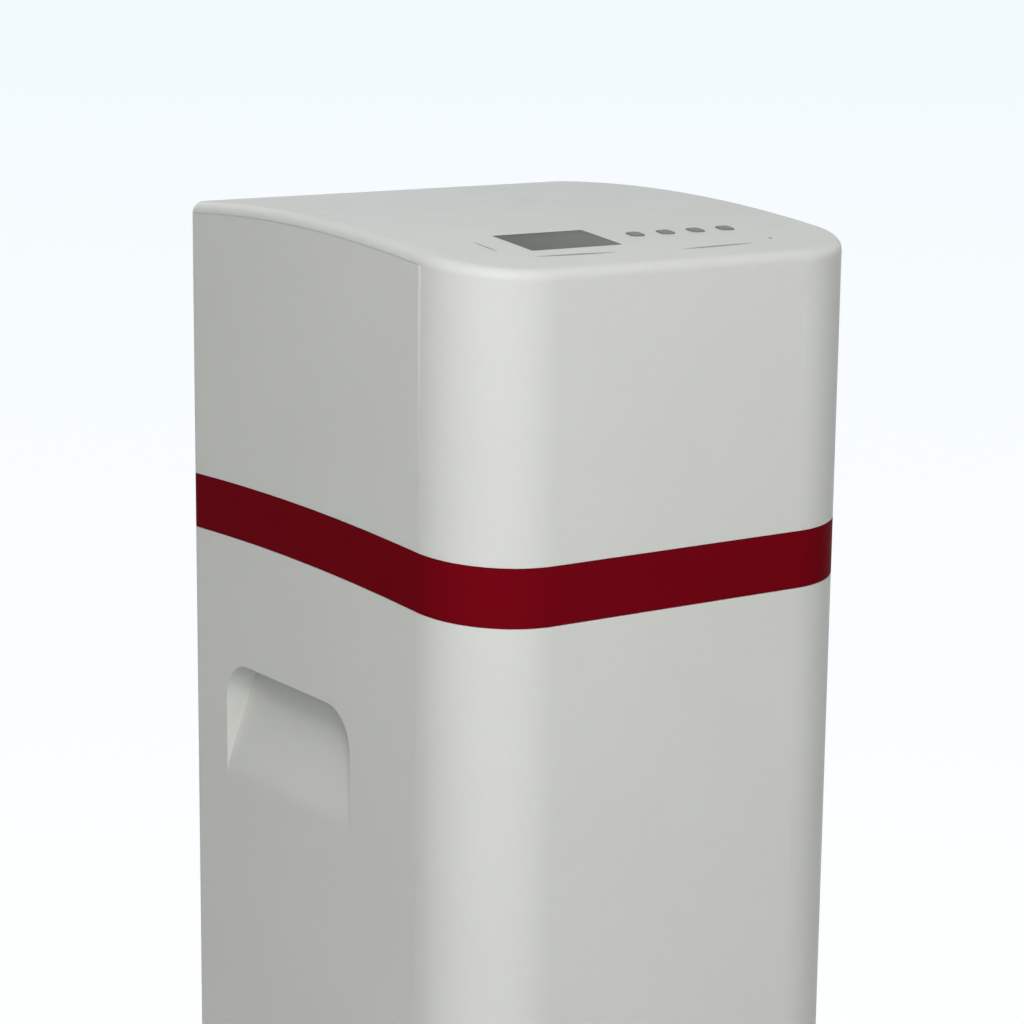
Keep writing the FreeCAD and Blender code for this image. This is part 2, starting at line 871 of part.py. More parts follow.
def make_hood():
    shell = cut("hood_walls", domed_block("hood_outer", length(0)), domed_block("hood_space", s.shell_wall))
    low = (band_top_crest + s.band_gap, s.band_arch_radius + s.band_height)
    shell = common("hood_shell", shell, side_zone("above_band", low, crest + SLACK))
    skin = common("cover_skin", shell, cover_zone("cover_zone", length(0)))

    lugs, screw_z = lug_boxes()
    bosses = []
    screw_holes = []
    for x, y in board_screw_places:
        boss = turned("board_boss", tube(s.board_boss_radius, 0, board_top, BITE - s.shell_wall))
        bosses.append(set_in_panel(boss, x, y))
        bore = turned("board_boss_bore", tube(s.board_screw_radius, 0, board_top - BITE, board_screw_tip))
        screw_holes.append(set_in_panel(bore, x, y))
    cover = fuse("cover_with_bosses", skin, *lugs, *bosses)
    lens_top = -s.lens_recess
    lens_bottom = lens_top - s.lens_thickness
    grow = s.joint_gap / 2
    seat = [window(grow, s.window_corner_radius + grow)]
    way = [window(-s.window_ledge, s.window_corner_radius)]
    openings = [
        set_in_panel(prism("lens_seat", "XY_Plane", seat, lens_bottom, SLACK)),
        set_in_panel(prism("display_opening", "XY_Plane", way, under_skin - BITE, 0)),
    ]
    for x in button_places:
        loop = square(s.button_size + s.joint_gap * 2, s.button_corner_radius + s.joint_gap)
        hole = prism("button_hole", "XY_Plane", [loop], under_skin - BITE, SLACK)
        openings.append(set_in_panel(hole, x))
    light = turned("light_hole", tube(s.light_radius, 0, under_skin - BITE, SLACK))
    openings.append(set_in_panel(light, s.light_right, -s.light_forward))
    screws = []
    for right in (-1, 1):
        x = s.lug_spacing / 2 * right
        bore = tube(s.screw_radius, 0, half_depth - SLACK, half_depth)
        screw_holes.append(place(turned("lug_bore", bore, "y"), x, 0, screw_z))
        bolt = [
            (0, half_depth - SLACK),
            (s.screw_radius, half_depth - SLACK),
            (s.screw_radius, half_depth - s.screw_head_height),
            (s.screw_head_radius, half_depth - s.screw_head_height),
            (s.screw_head_radius, half_depth),
            (0, half_depth),
        ]
        screws.append(place(turned("hood_screw", bolt, "y"), x, 0, screw_z))
    node("hood_front_cover", cut("hood_front_cover", cover, *openings, *screw_holes))
    node("hood_screws", group("hood_screws", *screws))

    rear = cut("rear_skin", shell, cover_zone("rear_zone", s.seam_gap))
    low = band_crest - SLACK
    high = band_top_crest + s.service_height - s.service_corner_radius
    reach = s.service_width / 2
    corner = s.service_corner_radius
    loop = [
        (-reach, low),
        (reach, low),
        (reach, high),
        (reach - corner, high + corner, corner, LEFT),
        (corner - reach, high + corner),
        (-reach, high, corner, LEFT),
    ]
    inside = half_depth - s.shell_wall
    service = prism("service_opening", "XZ_Plane", [loop], inside - SLACK, half_depth + SLACK)
    seats = []
    for right in (-1, 1):
        x = s.lug_spacing / 2 * right
        seat = tube(s.screw_head_radius, 0, half_depth - s.screw_head_height, half_depth + SLACK)
        bore = tube(s.screw_radius, 0, half_depth - SLACK, half_depth)
        seats.append(place(turned("screw_seat", seat, "y"), x, 0, screw_z))
        seats.append(place(turned("screw_bore", bore, "y"), x, 0, screw_z))
    node("hood_rear_shell", cut("hood_rear_shell", rear, service, *seats))


def make_control_panel():
    lens = prism(
        "display_lens",
        "XY_Plane",
        [window(length(0), s.window_corner_radius)],
        -s.lens_recess - s.lens_thickness,
        -s.lens_recess,
    )
    node("display_lens", set_in_panel(lens))

    x = -s.window_left
    wide = s.module_width / 2
    long = s.module_length / 2
    frame = rectangle(x - wide, x + wide, -long, long)
    node("lcd_module", set_in_panel(prism("lcd_module", "XY_Plane", [frame], board_top, under_skin)))

    board = [rectangle(-s.board_left, s.board_right, -s.board_front, s.board_back)]
    board += [circle(px, py, s.board_screw_radius) for px, py in board_screw_places]
    node("control_board", set_in_panel(prism("control_board", "XY_Plane", board, board_bottom, board_top)))

    screws = []
    for px, py in board_screw_places:
        bolt = [
            (0, board_bottom - s.screw_head_height),
            (s.screw_head_radius, board_bottom - s.screw_head_height),
            (s.screw_head_radius, board_bottom),
            (s.board_screw_radius, board_bottom),
            (s.board_screw_radius, board_screw_tip),
            (0, board_screw_tip),
        ]
        screws.append(set_in_panel(turned("board_screw", bolt), px, py))
    node("board_screws", group("board_screws", *screws))

    flange_bottom = under_skin - s.flange_thickness
    plunger_top = flange_bottom - s.button_travel - s.plunger_gap
    switches = []
    for number, px in enumerate(button_places, start=1):
        key = document.addObject("PartDesign::Body", f"button_{number}")
        wide = s.button_size + s.button_flange * 2
        corner = s.button_corner_radius
        pad(key, "key_flange", "XY_Plane", [square(wide, corner)], flange_bottom, under_skin)
        cap = pad(key, "key_cap", "XY_Plane", [square(s.button_size, corner)], under_skin, s.button_proud)
        document.recompute()
        top_edges = []
        for index, edge in enumerate(cap.Shape.Edges, start=1):
            if all(abs(v.Z - s.button_proud.number) < 1e-6 for v in edge.Vertexes):
                top_edges.append(f"Edge{index}")
        soft = key.newObject("PartDesign::Chamfer", "key_soft_edge")
        soft.Base = (cap, top_edges)
        tie(soft, "Size", s.button_proud / 2)
        node(f"button_{number}", set_in_panel(key, px))
        case = [square(s.switch_size, s.switch_size / 8)]
        pin = [circle(0, 0, s.switch_size / 4)]
        body = prism("switch_case", "XY_Plane", case, board_top, plunger_top - s.plunger_rise)
        plunger = prism("switch_plunger", "XY_Plane", pin, board_top, plunger_top)
        switches.append(set_in_panel(fuse("button_switch", body, plunger), px))
    node("button_switches", group("button_switches", *switches))

    pipe = [
        (0, board_top),
        (s.light_radius + s.light_flange, board_top),
        (s.light_radius + s.light_flange, under_skin - s.light_flange_drop),
        (s.light_radius, under_skin - s.light_flange_drop),
        (s.light_radius, -s.lens_recess),
        (0, -s.lens_recess),
    ]
    light = turned("status_light_pipe", pipe)
    node("status_light_pipe", set_in_panel(light, s.light_right, -s.light_forward))


# Vessel, its fittings and its media


dome_flat = s.vessel_radius - s.dome_radius


def quarter_turn(middle_r, middle_z, radius, start, chords):
    """Corners of a quarter circle that is drawn as straight chords, from an angle in degrees on."""
    corners = []
    for step in range(chords + 1):
        angle = math.radians(start + 90 * step / chords)
        across = round(math.cos(angle), 6)
        up = round(math.sin(angle), 6)
        corners.append((middle_r + radius * across, middle_z + radius * up))
    return corners


def make_vessel_outside():
    side = s.vessel_radius
    dome = s.dome_radius
    reach = s.neck_radius - dome_flat
    spring = neck_top - s.neck_height - root(dome * dome - reach * reach)
    profile = [
        (0, vessel_bottom),
        (dome_flat, vessel_bottom),
        (side, vessel_bottom + dome, dome, LEFT),
        (side, spring),
        (s.neck_radius, neck_top - s.neck_height, dome, LEFT),
        (s.neck_radius, neck_top),
        (0, neck_top),
    ]
    return place(turned("vessel_outside", profile), 0, vessel_y), spring


def vessel_space(name, inset, spring, chords=3):
    """The space inside the vessel, drawn in by inset. Its domes are a few cones, with a thicker wall there."""
    side = s.vessel_radius - inset
    dome = s.dome_radius - inset
    base = vessel_bottom + inset
    reach = s.neck_bore_radius - dome_flat
    neck_low = spring + root(dome * dome - reach * reach)
    profile = [(0, base)]
    profile += quarter_turn(dome_flat, base + dome, dome, -90, chords)
    profile += quarter_turn(dome_flat, spring, dome, 0, chords)[:-1]
    profile += [(s.neck_bore_radius, neck_low), (s.neck_bore_radius, neck_top), (0, neck_top)]
    return place(turned(name, profile), 0, vessel_y)


basket_bottom = vessel_bottom + s.vessel_wall + s.basket_lift
basket_top = basket_bottom + s.basket_height


def slotted_basket(name, low, high, hole):
    """A strainer basket round the riser: a cup with upright slots, closed at its low end."""
    body = document.addObject("PartDesign::Body", name)
    outer = s.basket_radius
    inner = outer - s.basket_wall
    section = [
        (hole if hole else 0, low),
        (outer, low),
        (outer, high),
        (s.riser_radius, high),
        (s.riser_radius, high - s.basket_wall),
        (inner, high - s.basket_wall),
        (inner, low + s.basket_wall),
        (hole if hole else 0, low + s.basket_wall),
    ]
    cup = body.newObject("PartDesign::Revolution", name + "_cup")
    cup.Profile = new_sketch(body, name + "_section", "XZ_Plane", [section])
    cup.ReferenceAxis = (cup.Profile[0], ["V_Axis"])
    cup.Angle = 360
    document.recompute()
    whole = cup.Shape.Volume
    half = s.slot_width / 2
    slot_loop = rectangle(-half, half, low + s.basket_wall * 2, high - s.basket_wall * 2)
    slot = body.newObject("PartDesign::Pocket", name + "_slot")
    slot.Profile = new_sketch(body, name + "_slot_face", "XZ_Plane", [slot_loop])
    tie(slot, "Length", outer + SLACK)
    slot.Reversed = True
    ring = body.newObject("PartDesign::PolarPattern", name + "_slots")
    ring.Originals = [slot]
    ring.Axis = (cup.Profile[0], ["V_Axis"])
    ring.Angle = 360
    tie(ring, "Occurrences", s.slot_count)
    body.Tip = ring
    document.recompute()
    if ring.Shape.Volume >= whole:
        raise RuntimeError(f"{name}: the slots cut nothing")
    return place(body, 0, vessel_y)


def make_boot():
    """A ring whose sloping seat touches the vessel's dome on one circle."""
    slant = root(s.boot_rise * s.boot_rise + 1)
    touch_r = dome_flat + s.dome_radius * s.boot_rise / slant
    touch_z = vessel_bottom + s.dome_radius - s.dome_radius / slant
    top = floor_top + s.boot_height
    section = [
        (touch_r - (touch_z - floor_top) / s.boot_rise, floor_top),
        (boot_radius, floor_top),
        (boot_radius, top),
        (touch_r + (top - touch_z) / s.boot_rise, top),
    ]
    node("vessel_boot", place(turned("vessel_boot", section), 0, vessel_y))


def make_vessel():
    outside, spring = make_vessel_outside()
    space = vessel_space("vessel_space", s.vessel_wall, spring)
    node("pressure_vessel", cut("pressure_vessel", outside, space))

    riser_low = basket_top - s.basket_wall * 2
    riser = tube(s.riser_radius, s.riser_radius - s.riser_wall, riser_low, throat + s.riser_socket)
    node("riser_tube", place(turned("riser_tube", riser), 0, vessel_y))
    node("bottom_strainer", slotted_basket("bottom_strainer", basket_bottom, basket_top, None))
    hang = neck_top - s.spigot_length
    hole = s.riser_radius + s.riser_gap
    node("top_strainer", slotted_basket("top_strainer", hang - s.basket_height, hang, hole))

    level = vessel_bottom + s.vessel_wall
    core = [
        (0, level),
        (s.basket_radius + s.media_gap, level),
        (s.basket_radius + s.media_gap, basket_top),
        (s.riser_radius + s.media_gap, basket_top),
        (s.riser_radius + s.media_gap, neck_top),
        (0, neck_top),
    ]
    for name, depth in (
        ("gravel_bed", s.gravel_depth),
        ("sand_bed", s.sand_depth),
        ("carbon_bed", s.carbon_depth),
    ):
        inside = vessel_space(name + "_space", s.vessel_wall + s.media_gap, spring)
        slab = place(turned(name + "_slab", tube(s.vessel_radius, 0, level, level + depth)), 0, vessel_y)
        middle = place(turned(name + "_core", core), 0, vessel_y)
        node(name, cut(name, common(name + "_fill", inside, slab), middle))
        level = level + depth


# Valve body, ceramic discs and drive

chamber_floor = barrel_top - s.chamber_depth
fixed_disc_low = chamber_floor + s.seal_thickness
moving_disc_low = fixed_disc_low + s.disc_thickness + s.disc_gap
shaft_head_low = moving_disc_low + s.disc_thickness
shaft_head_high = shaft_head_low + s.shaft_head_thickness
gear_low = plate_top + s.gear_lift
gear_high = gear_low + s.gear_thickness
pitch_distance = s.gear_module * (s.gear_teeth + s.pinion_teeth) / 2
gear_pitch_radius = s.gear_module * s.gear_teeth / 2
gear_web_radius = gear_pitch_radius - s.gear_rim
gear_window_circle = (gear_web_radius + s.gear_hub_radius) / 2
motor_y = vessel_y - pitch_distance
motor_screw_xs = (-s.motor_screw_reach, s.motor_screw_reach)
port_xs = (-s.port_spacing / 2, s.port_spacing / 2)
ring_circle = (s.neck_bore_radius + s.neck_radius) / 2
port_ring = (s.port_bore_radius + s.collar_radius) / 2
drain_z = neck_top + s.drain_rise


def pipe_y(name, x, radius, low, high):
    """A solid round bar along Y at the height of the ports."""
    return place(turned(name, tube(radius, length(0), low, high), "y"), x, 0, port_z)


def port_groove(x, joint):
    """The groove that a seal lies in, half of it in each of the two collars that meet at a joint."""
    half = s.face_ring_section
    wide = half + s.face_ring_gap
    section = tube(port_ring + wide, port_ring - wide, -half, half)
    return place(turned("port_groove", section, "y"), x, joint, port_z)


def make_valve_body():
    groove = s.ring_section + s.ring_side_gap
    depth = s.ring_section * 2
    profile = [
        (s.spigot_bore_radius, neck_top - s.spigot_length),
        (s.spigot_radius, neck_top - s.spigot_length),
        (s.spigot_radius, neck_top),
        (ring_circle - groove, neck_top),
        (ring_circle - groove, neck_top + depth),
        (ring_circle + groove, neck_top + depth),
        (ring_circle + groove, neck_top),
        (s.flange_radius, neck_top),
        (s.flange_radius, neck_top + s.flange_height),
        (s.barrel_radius, neck_top + s.flange_height),
        (s.barrel_radius, barrel_top),
        (s.chamber_radius, barrel_top),
        (s.chamber_radius, chamber_floor),
        (s.passage_radius, chamber_floor),
        (s.passage_radius, throat + s.riser_socket),
        (s.riser_radius, throat + s.riser_socket),
        (s.riser_radius, throat),
        (s.spigot_bore_radius, throat),
    ]
    shapes = [place(turned("valve_barrel", profile), 0, vessel_y)]
    holes = []
    face = port_end
    for x in port_xs:
        shapes.append(pipe_y("valve_port", x, s.port_radius, vessel_y, face))
        shapes.append(pipe_y("valve_collar", x, s.collar_radius, face - s.collar_length, face))
        start = vessel_y + s.passage_radius
        holes.append(pipe_y("valve_port_bore", x, s.port_bore_radius, start, face + SLACK))
        holes.append(port_groove(x, face))
    boss = turned("drain_port", tube(s.drain_radius, 0, 0, s.drain_reach), "x")
    shapes.append(place(boss, 0, vessel_y, drain_z))
    bore = turned("drain_bore", tube(s.drain_bore_radius, 0, s.passage_radius, s.drain_reach + BITE), "x")
    holes.append(place(bore, 0, vessel_y, drain_z))
    sensor_y = face - s.cartridge_length / 2 - s.collar_length
    sensor_floor = s.port_bore_radius + s.sensor_floor
    boss_top = s.port_radius + s.sensor_boss_height
    boss = turned("sensor_boss", tube(s.sensor_radius + s.sensor_wall, 0, sensor_floor, boss_top))
    shapes.append(place(boss, port_xs[0], sensor_y, port_z))
    bore = turned("sensor_bore", tube(s.sensor_radius, 0, sensor_floor, boss_top + BITE))
    holes.append(place(bore, port_xs[0], sensor_y, port_z))
    for x, y in plate_screw_places():
        low = barrel_top - s.plate_screw_grip
        holes.append(hole_z("plate_screw_bore", s.screw_radius, x, y, low, barrel_top + BITE))
    node("valve_body", cut("valve_body", fuse("valve_solid", *shapes), *holes))

    head_radius = s.sensor_radius + s.sensor_head_lip
    sensor = [
        (0, sensor_floor),
        (s.sensor_radius, sensor_floor),
        (s.sensor_radius, boss_top),
        (head_radius, boss_top),
        (head_radius, boss_top + s.sensor_head_height),
        (0, boss_top + s.sensor_head_height),
    ]
    node("meter_sensor", place(turned("meter_sensor", sensor), port_xs[0], sensor_y, port_z))
    ring = seal_ring("neck_o_ring", ring_circle, s.ring_section, neck_top + s.ring_section)
    node("neck_o_ring", place(ring, 0, vessel_y))


def plate_screw_places():
    """Four screws through the gear plate and the cap into the barrel's wall."""
    circle_radius = (s.chamber_radius + s.barrel_radius) / 2
    reach = circle_radius * math.sqrt(0.5)
    return [(reach * right, vessel_y + reach * back) for right in (-1, 1) for back in (-1, 1)]


def disc(name, radius, low, high, holes):
    loops = [circle(0, 0, radius)]
    for number in range(holes):
        angle = 2 * math.pi * number / holes
        x = s.disc_port_circle * round(math.cos(angle), 6)
        y = s.disc_port_circle * round(math.sin(angle), 6)
        loops.append(circle(x, y, s.disc_port_radius))
    return place(prism(name, "XY_Plane", loops, low, high), 0, vessel_y)


def make_discs():
    node("disc_seal", disc("disc_seal", s.disc_radius, chamber_floor, fixed_disc_low, DISC_PORTS))
    fixed_top = fixed_disc_low + s.disc_thickness
    node("fixed_disc", disc("fixed_disc", s.disc_radius, fixed_disc_low, fixed_top, DISC_PORTS))
    radius = s.disc_radius - s.moving_disc_inset
    node("moving_disc", disc("moving_disc", radius, moving_disc_low, shaft_head_low, MOVING_DISC_PORTS))

    ring_level = barrel_top + s.cap_plate / 2
    groove = s.shaft_ring_section + s.shaft_ring_gap
    groove_floor = s.shaft_radius - s.shaft_ring_section * 2
    shaft = [
        (0, shaft_head_low),
        (s.shaft_head_radius, shaft_head_low),
        (s.shaft_head_radius, shaft_head_high),
        (s.shaft_radius, shaft_head_high),
        (s.shaft_radius, ring_level - groove),
        (groove_floor, ring_level - groove),
        (groove_floor, ring_level + groove),
        (s.shaft_radius, ring_level + groove),
        (s.shaft_radius, gear_low),
        (s.hub_shaft_radius, gear_low),
        (s.hub_shaft_radius, gear_high),
        (0, gear_high),
    ]
    node("drive_shaft", place(turned("drive_shaft", shaft), 0, vessel_y))
    ring = seal_ring("shaft_o_ring", s.shaft_radius - s.shaft_ring_section, s.shaft_ring_section, ring_level)
    node("shaft_o_ring", place(ring, 0, vessel_y))

    cap_bore = s.shaft_radius + s.shaft_gap
    skirt_radius = s.chamber_radius - s.media_gap
    skirt_low = shaft_head_high + s.joint_gap
    cap = [
        (cap_bore, skirt_low),
        (skirt_radius, skirt_low),
        (skirt_radius, barrel_top),
        (s.barrel_radius, barrel_top),
        (s.barrel_radius, cap_top),
        (cap_bore, cap_top),
    ]
    low = barrel_top - BITE
    high = cap_top + BITE
    bores = [hole_z("cap_bore", s.screw_radius, x, y, low, high) for x, y in plate_screw_places()]
    node("chamber_cap", cut("chamber_cap", place(turned("cap_blank", cap), 0, vessel_y), *bores))


def toothed_disc(name, teeth, thickness_low, thickness_high, x, y, turn):
    """A spur gear blank with involute flanks drawn from the module, thinned for the backlash."""
    module = s.gear_module.number
    pitch_radius = module * teeth / 2
    base_radius = pitch_radius * math.cos(math.radians(20))
    tip_radius = pitch_radius + module * 0.8
    root_radius = pitch_radius - module * 1.1

    def roll(radius):
        """Angle that the flank has turned by at a radius, from the base circle."""
        if radius <= base_radius:
            return 0.0
        slant = math.acos(base_radius / radius)
        return math.tan(slant) - slant

    half_tooth = math.pi / (2 * teeth) - s.backlash.number / (4 * pitch_radius) + roll(pitch_radius)
    low_radius = max(base_radius, root_radius)
    flank = [(root_radius, half_tooth), (pitch_radius, half_tooth - roll(pitch_radius))]
    if low_radius > root_radius:
        flank.insert(1, (low_radius, half_tooth))
    flank.append((tip_radius, half_tooth - roll(tip_radius)))
    points = []
    for tooth in range(teeth):
        centre = 2 * math.pi * tooth / teeth + turn
        sides = [(radius, centre - angle) for radius, angle in flank]
        sides += [(radius, centre + angle) for radius, angle in reversed(flank)]
        points += [Vector(radius * math.cos(angle), radius * math.sin(angle), 0) for radius, angle in sides]
    blank = Part.Face(Part.makePolygon(points + points[:1]))
    feature = document.addObject("Part::Feature", name)
    feature.Shape = blank.extrude(Vector(0, 0, thickness_high.number - thickness_low.number))
    return place(feature, x, y, thickness_low)


def make_gear_plate():
    """The plate on the barrel: a shallow well for the gears, which the motor hangs under."""
    edge = gear_pitch_radius + s.gear_module + s.plate_margin
    plate_front = motor_y - s.motor_radius - s.plate_lip
    plate_back = vessel_y + edge
    lip = s.plate_lip
    outline = rounded(-edge, edge, plate_front, plate_back, edge / 2)
    plate = prism("gear_plate_blank", "XY_Plane", [outline], cap_top, gear_low + s.washer_thickness)
    inner = rounded(lip - edge, edge - lip, plate_front + lip, plate_back - lip, edge / 2 - lip)
    low = cap_top - BITE
    high = plate_top + BITE
    tools = [
        prism("gear_plate_well", "XY_Plane", [inner], plate_top, gear_high),
        hole_z("plate_shaft_hole", s.shaft_radius + s.plate_hole_gap, 0, vessel_y, low, high),
        hole_z("plate_motor_hole", s.motor_shaft_radius + s.plate_hole_gap * 2, 0, motor_y, low, high),
    ]
    screws = []
    for x, y in plate_screw_places():
        tools.append(hole_z("plate_screw_hole", s.screw_radius, x, y, low, high))
        screws.append(screw_down("plate_screw", x, y, plate_top, barrel_top - s.plate_screw_grip))
    for x in motor_screw_xs:
        tools.append(hole_z("motor_screw_hole", s.screw_radius, x, motor_y, low, high))
    node("gear_plate", cut("gear_plate", plate, *tools))
    node("plate_screws", group("plate_screws", *screws))


def make_motor():
    tip = cap_top - s.motor_screw_grip
    screws = []
    bores = []
    for x in motor_screw_xs:
        bores.append(hole_z("motor_screw_bore", s.screw_radius, x, motor_y, tip, cap_top + BITE))
        screws.append(screw_down("motor_screw", x, motor_y, plate_top, tip))
    node("motor_screws", group("motor_screws", *screws))

    box_low = cap_top - s.gearbox_length
    shaft_seat = box_low + s.gearbox_length / 2
    shaft_bore = s.motor_shaft_radius + s.shaft_gap
    profile = [
        (0, box_low - s.motor_length),
        (s.motor_can_radius, box_low - s.motor_length),
        (s.motor_can_radius, box_low),
        (s.motor_radius, box_low),
        (s.motor_radius, cap_top),
        (shaft_bore, cap_top),
        (shaft_bore, shaft_seat),
        (0, shaft_seat),
    ]
    node("drive_motor", cut("drive_motor", place(turned("motor_blank", profile), 0, motor_y), *bores))
    shaft = tube(s.motor_shaft_radius, 0, shaft_seat + s.joint_gap, gear_high + s.washer_thickness)
    node("motor_shaft", place(turned("motor_shaft", shaft), 0, motor_y))


def make_gears():
    """The big gear with its rim, web, windows and magnet, and the motor's pinion, in mesh at rest."""
    below = gear_low - BITE
    above = gear_high + BITE
    teeth = int(s.gear_teeth.number)
    blank = toothed_disc("gear_blank", teeth, gear_low, gear_high, 0, vessel_y, -math.pi / 2)
    web_high = gear_low + s.gear_web
    recess = tube(gear_web_radius, s.gear_hub_radius, web_high, above)
    tools = [
        place(turned("gear_recess", recess), 0, vessel_y),
        hole_z("gear_bore", s.hub_shaft_radius, 0, vessel_y, below, above),
    ]
    for number in range(GEAR_WINDOWS):
        angle = 2 * math.pi * number / GEAR_WINDOWS
        x = gear_window_circle * round(math.cos(angle), 6)
        y = vessel_y + gear_window_circle * round(math.sin(angle), 6)
        tools.append(hole_z("gear_window", s.gear_window_radius, x, y, below, web_high + BITE))
    magnet_x = gear_window_circle * math.sqrt(0.75)
    magnet_y = vessel_y + gear_window_circle / 2
    magnet_top = gear_low + s.magnet_depth
    tools.append(hole_z("magnet_pocket", s.magnet_radius, magnet_x, magnet_y, gear_low, magnet_top))
    node("drive_gear", cut("drive_gear", blank, *tools))
    magnet = hole_z("position_magnet", s.magnet_radius, magnet_x, magnet_y, gear_low, magnet_top)
    node("position_magnet", magnet)

    small = int(s.pinion_teeth.number)
    half_tooth_on = math.pi / 2 + math.pi / small
    pinion = toothed_disc("pinion_blank", small, gear_low, gear_high, 0, motor_y, half_tooth_on)
    bore = hole_z("pinion_bore", s.motor_shaft_radius, 0, motor_y, below, above)
    node("motor_pinion", cut("motor_pinion", pinion, bore))

    washer_top = gear_high + s.washer_thickness
    head_top = washer_top + s.screw_head_height
    washer = [
        (0, gear_high),
        (s.gear_washer_radius, gear_high),
        (s.gear_washer_radius, washer_top),
        (s.screw_head_radius, washer_top),
        (s.screw_head_radius, head_top),
        (0, head_top),
    ]
    node("gear_screw", place(turned("gear_screw", washer), 0, vessel_y))


def make_position_board():
    """The board that senses the magnet as it passes over."""
    right = -gear_web_radius / 2
    half = s.position_board_width / 2
    outline = rectangle(right - s.position_board_length, right, vessel_y - half, vessel_y + half)
    board = prism("position_board_blank", "XY_Plane", [outline], plate_top, plate_top + s.board_thickness)
    reach = s.hall_sensor_size / 2
    chip_x = -gear_window_circle
    chip = rectangle(chip_x - reach, chip_x + reach, vessel_y - reach, vessel_y + reach)
    sensor = prism("hall_sensor", "XY_Plane", [chip], plate_top, gear_low - s.hall_sensor_gap)
    node("position_board", fuse("position_board", board, sensor))


def screw_down(name, x, y, seat, tip):
    """A pan-head screw driven down into its hole."""
    bolt = [
        (0, tip),
        (s.screw_radius, tip),
        (s.screw_radius, seat),
        (s.screw_head_radius, seat),
        (s.screw_head_radius, seat + s.screw_head_height),
        (0, seat + s.screw_head_height),
    ]
    return place(turned(name, bolt), x, y)


# Flow meter, bypass and connections


def make_meter():
    x = port_xs[0]
    far = port_end - s.collar_length
    near = far - s.cartridge_length
    ring_outer = s.port_bore_radius - s.cartridge_fit
    ring_inner = ring_outer - s.cartridge_wall
    ring = place(turned("cartridge_ring", tube(ring_outer, ring_inner, near, far), "y"), x, 0, port_z)
    axle = pipe_y("cartridge_axle", x, s.axle_radius, near, far)
    parts = [ring, axle]
    spider = (s.cartridge_length - s.impeller_length) / 2 - s.joint_gap
    reach = ring_outer - s.cartridge_wall / 3
    vane_half = s.vane_thickness / 2
    for low in (near, far - spider):
        high = low + spider
        parts.append(pipe_y("cartridge_nose", x, s.impeller_hub_radius, low, high))
        level_vane = rectangle(x - reach, x + reach, port_z - vane_half, port_z + vane_half)
        upright_vane = rectangle(x - vane_half, x + vane_half, port_z - reach, port_z + reach)
        parts.append(prism("cartridge_level_vane", "XZ_Plane", [level_vane], low, high))
        parts.append(prism("cartridge_upright_vane", "XZ_Plane", [upright_vane], low, high))
    node("meter_cartridge", fuse("meter_cartridge", *parts))

    start = near + spider + s.joint_gap
    end = start + s.impeller_length
    blade_tip = ring_inner - s.blade_gap
    half = s.blade_thickness / 2
    blade_half_length = s.impeller_length / 2 + s.impeller_hub_radius
    blade_face = rectangle(-half, half, -blade_half_length, blade_half_length)
    blade_root = s.impeller_hub_radius - half
    blades = [pipe_y("impeller_hub", x, s.impeller_hub_radius, start, end)]
    for number in range(int(s.blade_count.number)):
        blade = prism("impeller_blade", "XY_Plane", [blade_face], blade_root, blade_tip + BITE)
        lean = Rotation(Vector(0, 0, 1), s.blade_lean.number)
        around = Rotation(Vector(0, 1, 0), 360 / s.blade_count.number * number)
        blade.Placement = Placement(Vector(), around * lean)
        blades.append(place(blade, x, (start + end) / 2, port_z))
    sweep = tube(blade_tip, s.axle_radius + s.shaft_gap, start, end)
    trimmed = common(
        "impeller_trimmed",
        fuse("impeller_rough", *blades),
        place(turned("impeller_sweep", sweep, "y"), x, 0, port_z),
    )
    node("meter_impeller", trimmed)


def coupling_clip(name, x, joint):
    """A spring clip round two collars that meet at a joint, open at the bottom."""
    outer = s.collar_radius + s.clip_thickness
    inner = s.collar_radius + s.clip_gap
    lip = s.port_radius + s.clip_lip_gap
    reach = s.collar_length
    end = reach + s.clip_overlap
    section = [
        (inner, joint - reach),
        (lip, joint - reach),
        (lip, joint - end),
        (outer, joint - end),
        (outer, joint + end),
        (lip, joint + end),
        (lip, joint + reach),
        (inner, joint + reach),
    ]
    ring = place(turned(name + "_ring", section, "y"), x, 0, port_z)
    mouth = rectangle(x - s.clip_mouth / 2, x + s.clip_mouth / 2, port_z - outer - BITE, port_z)
    gap = prism(name + "_mouth", "XZ_Plane", [mouth], joint - reach - SLACK, joint + reach + SLACK)
    return cut(name, ring, gap)


rotor_y = port_end + s.rotor_setback
rotor_house_low = port_z - s.rotor_house_height
rotor_house_high = port_z + s.rotor_house_height
bypass_end = port_end + s.bypass_length
rotor_way_radius = s.rotor_radius - s.rotor_wall


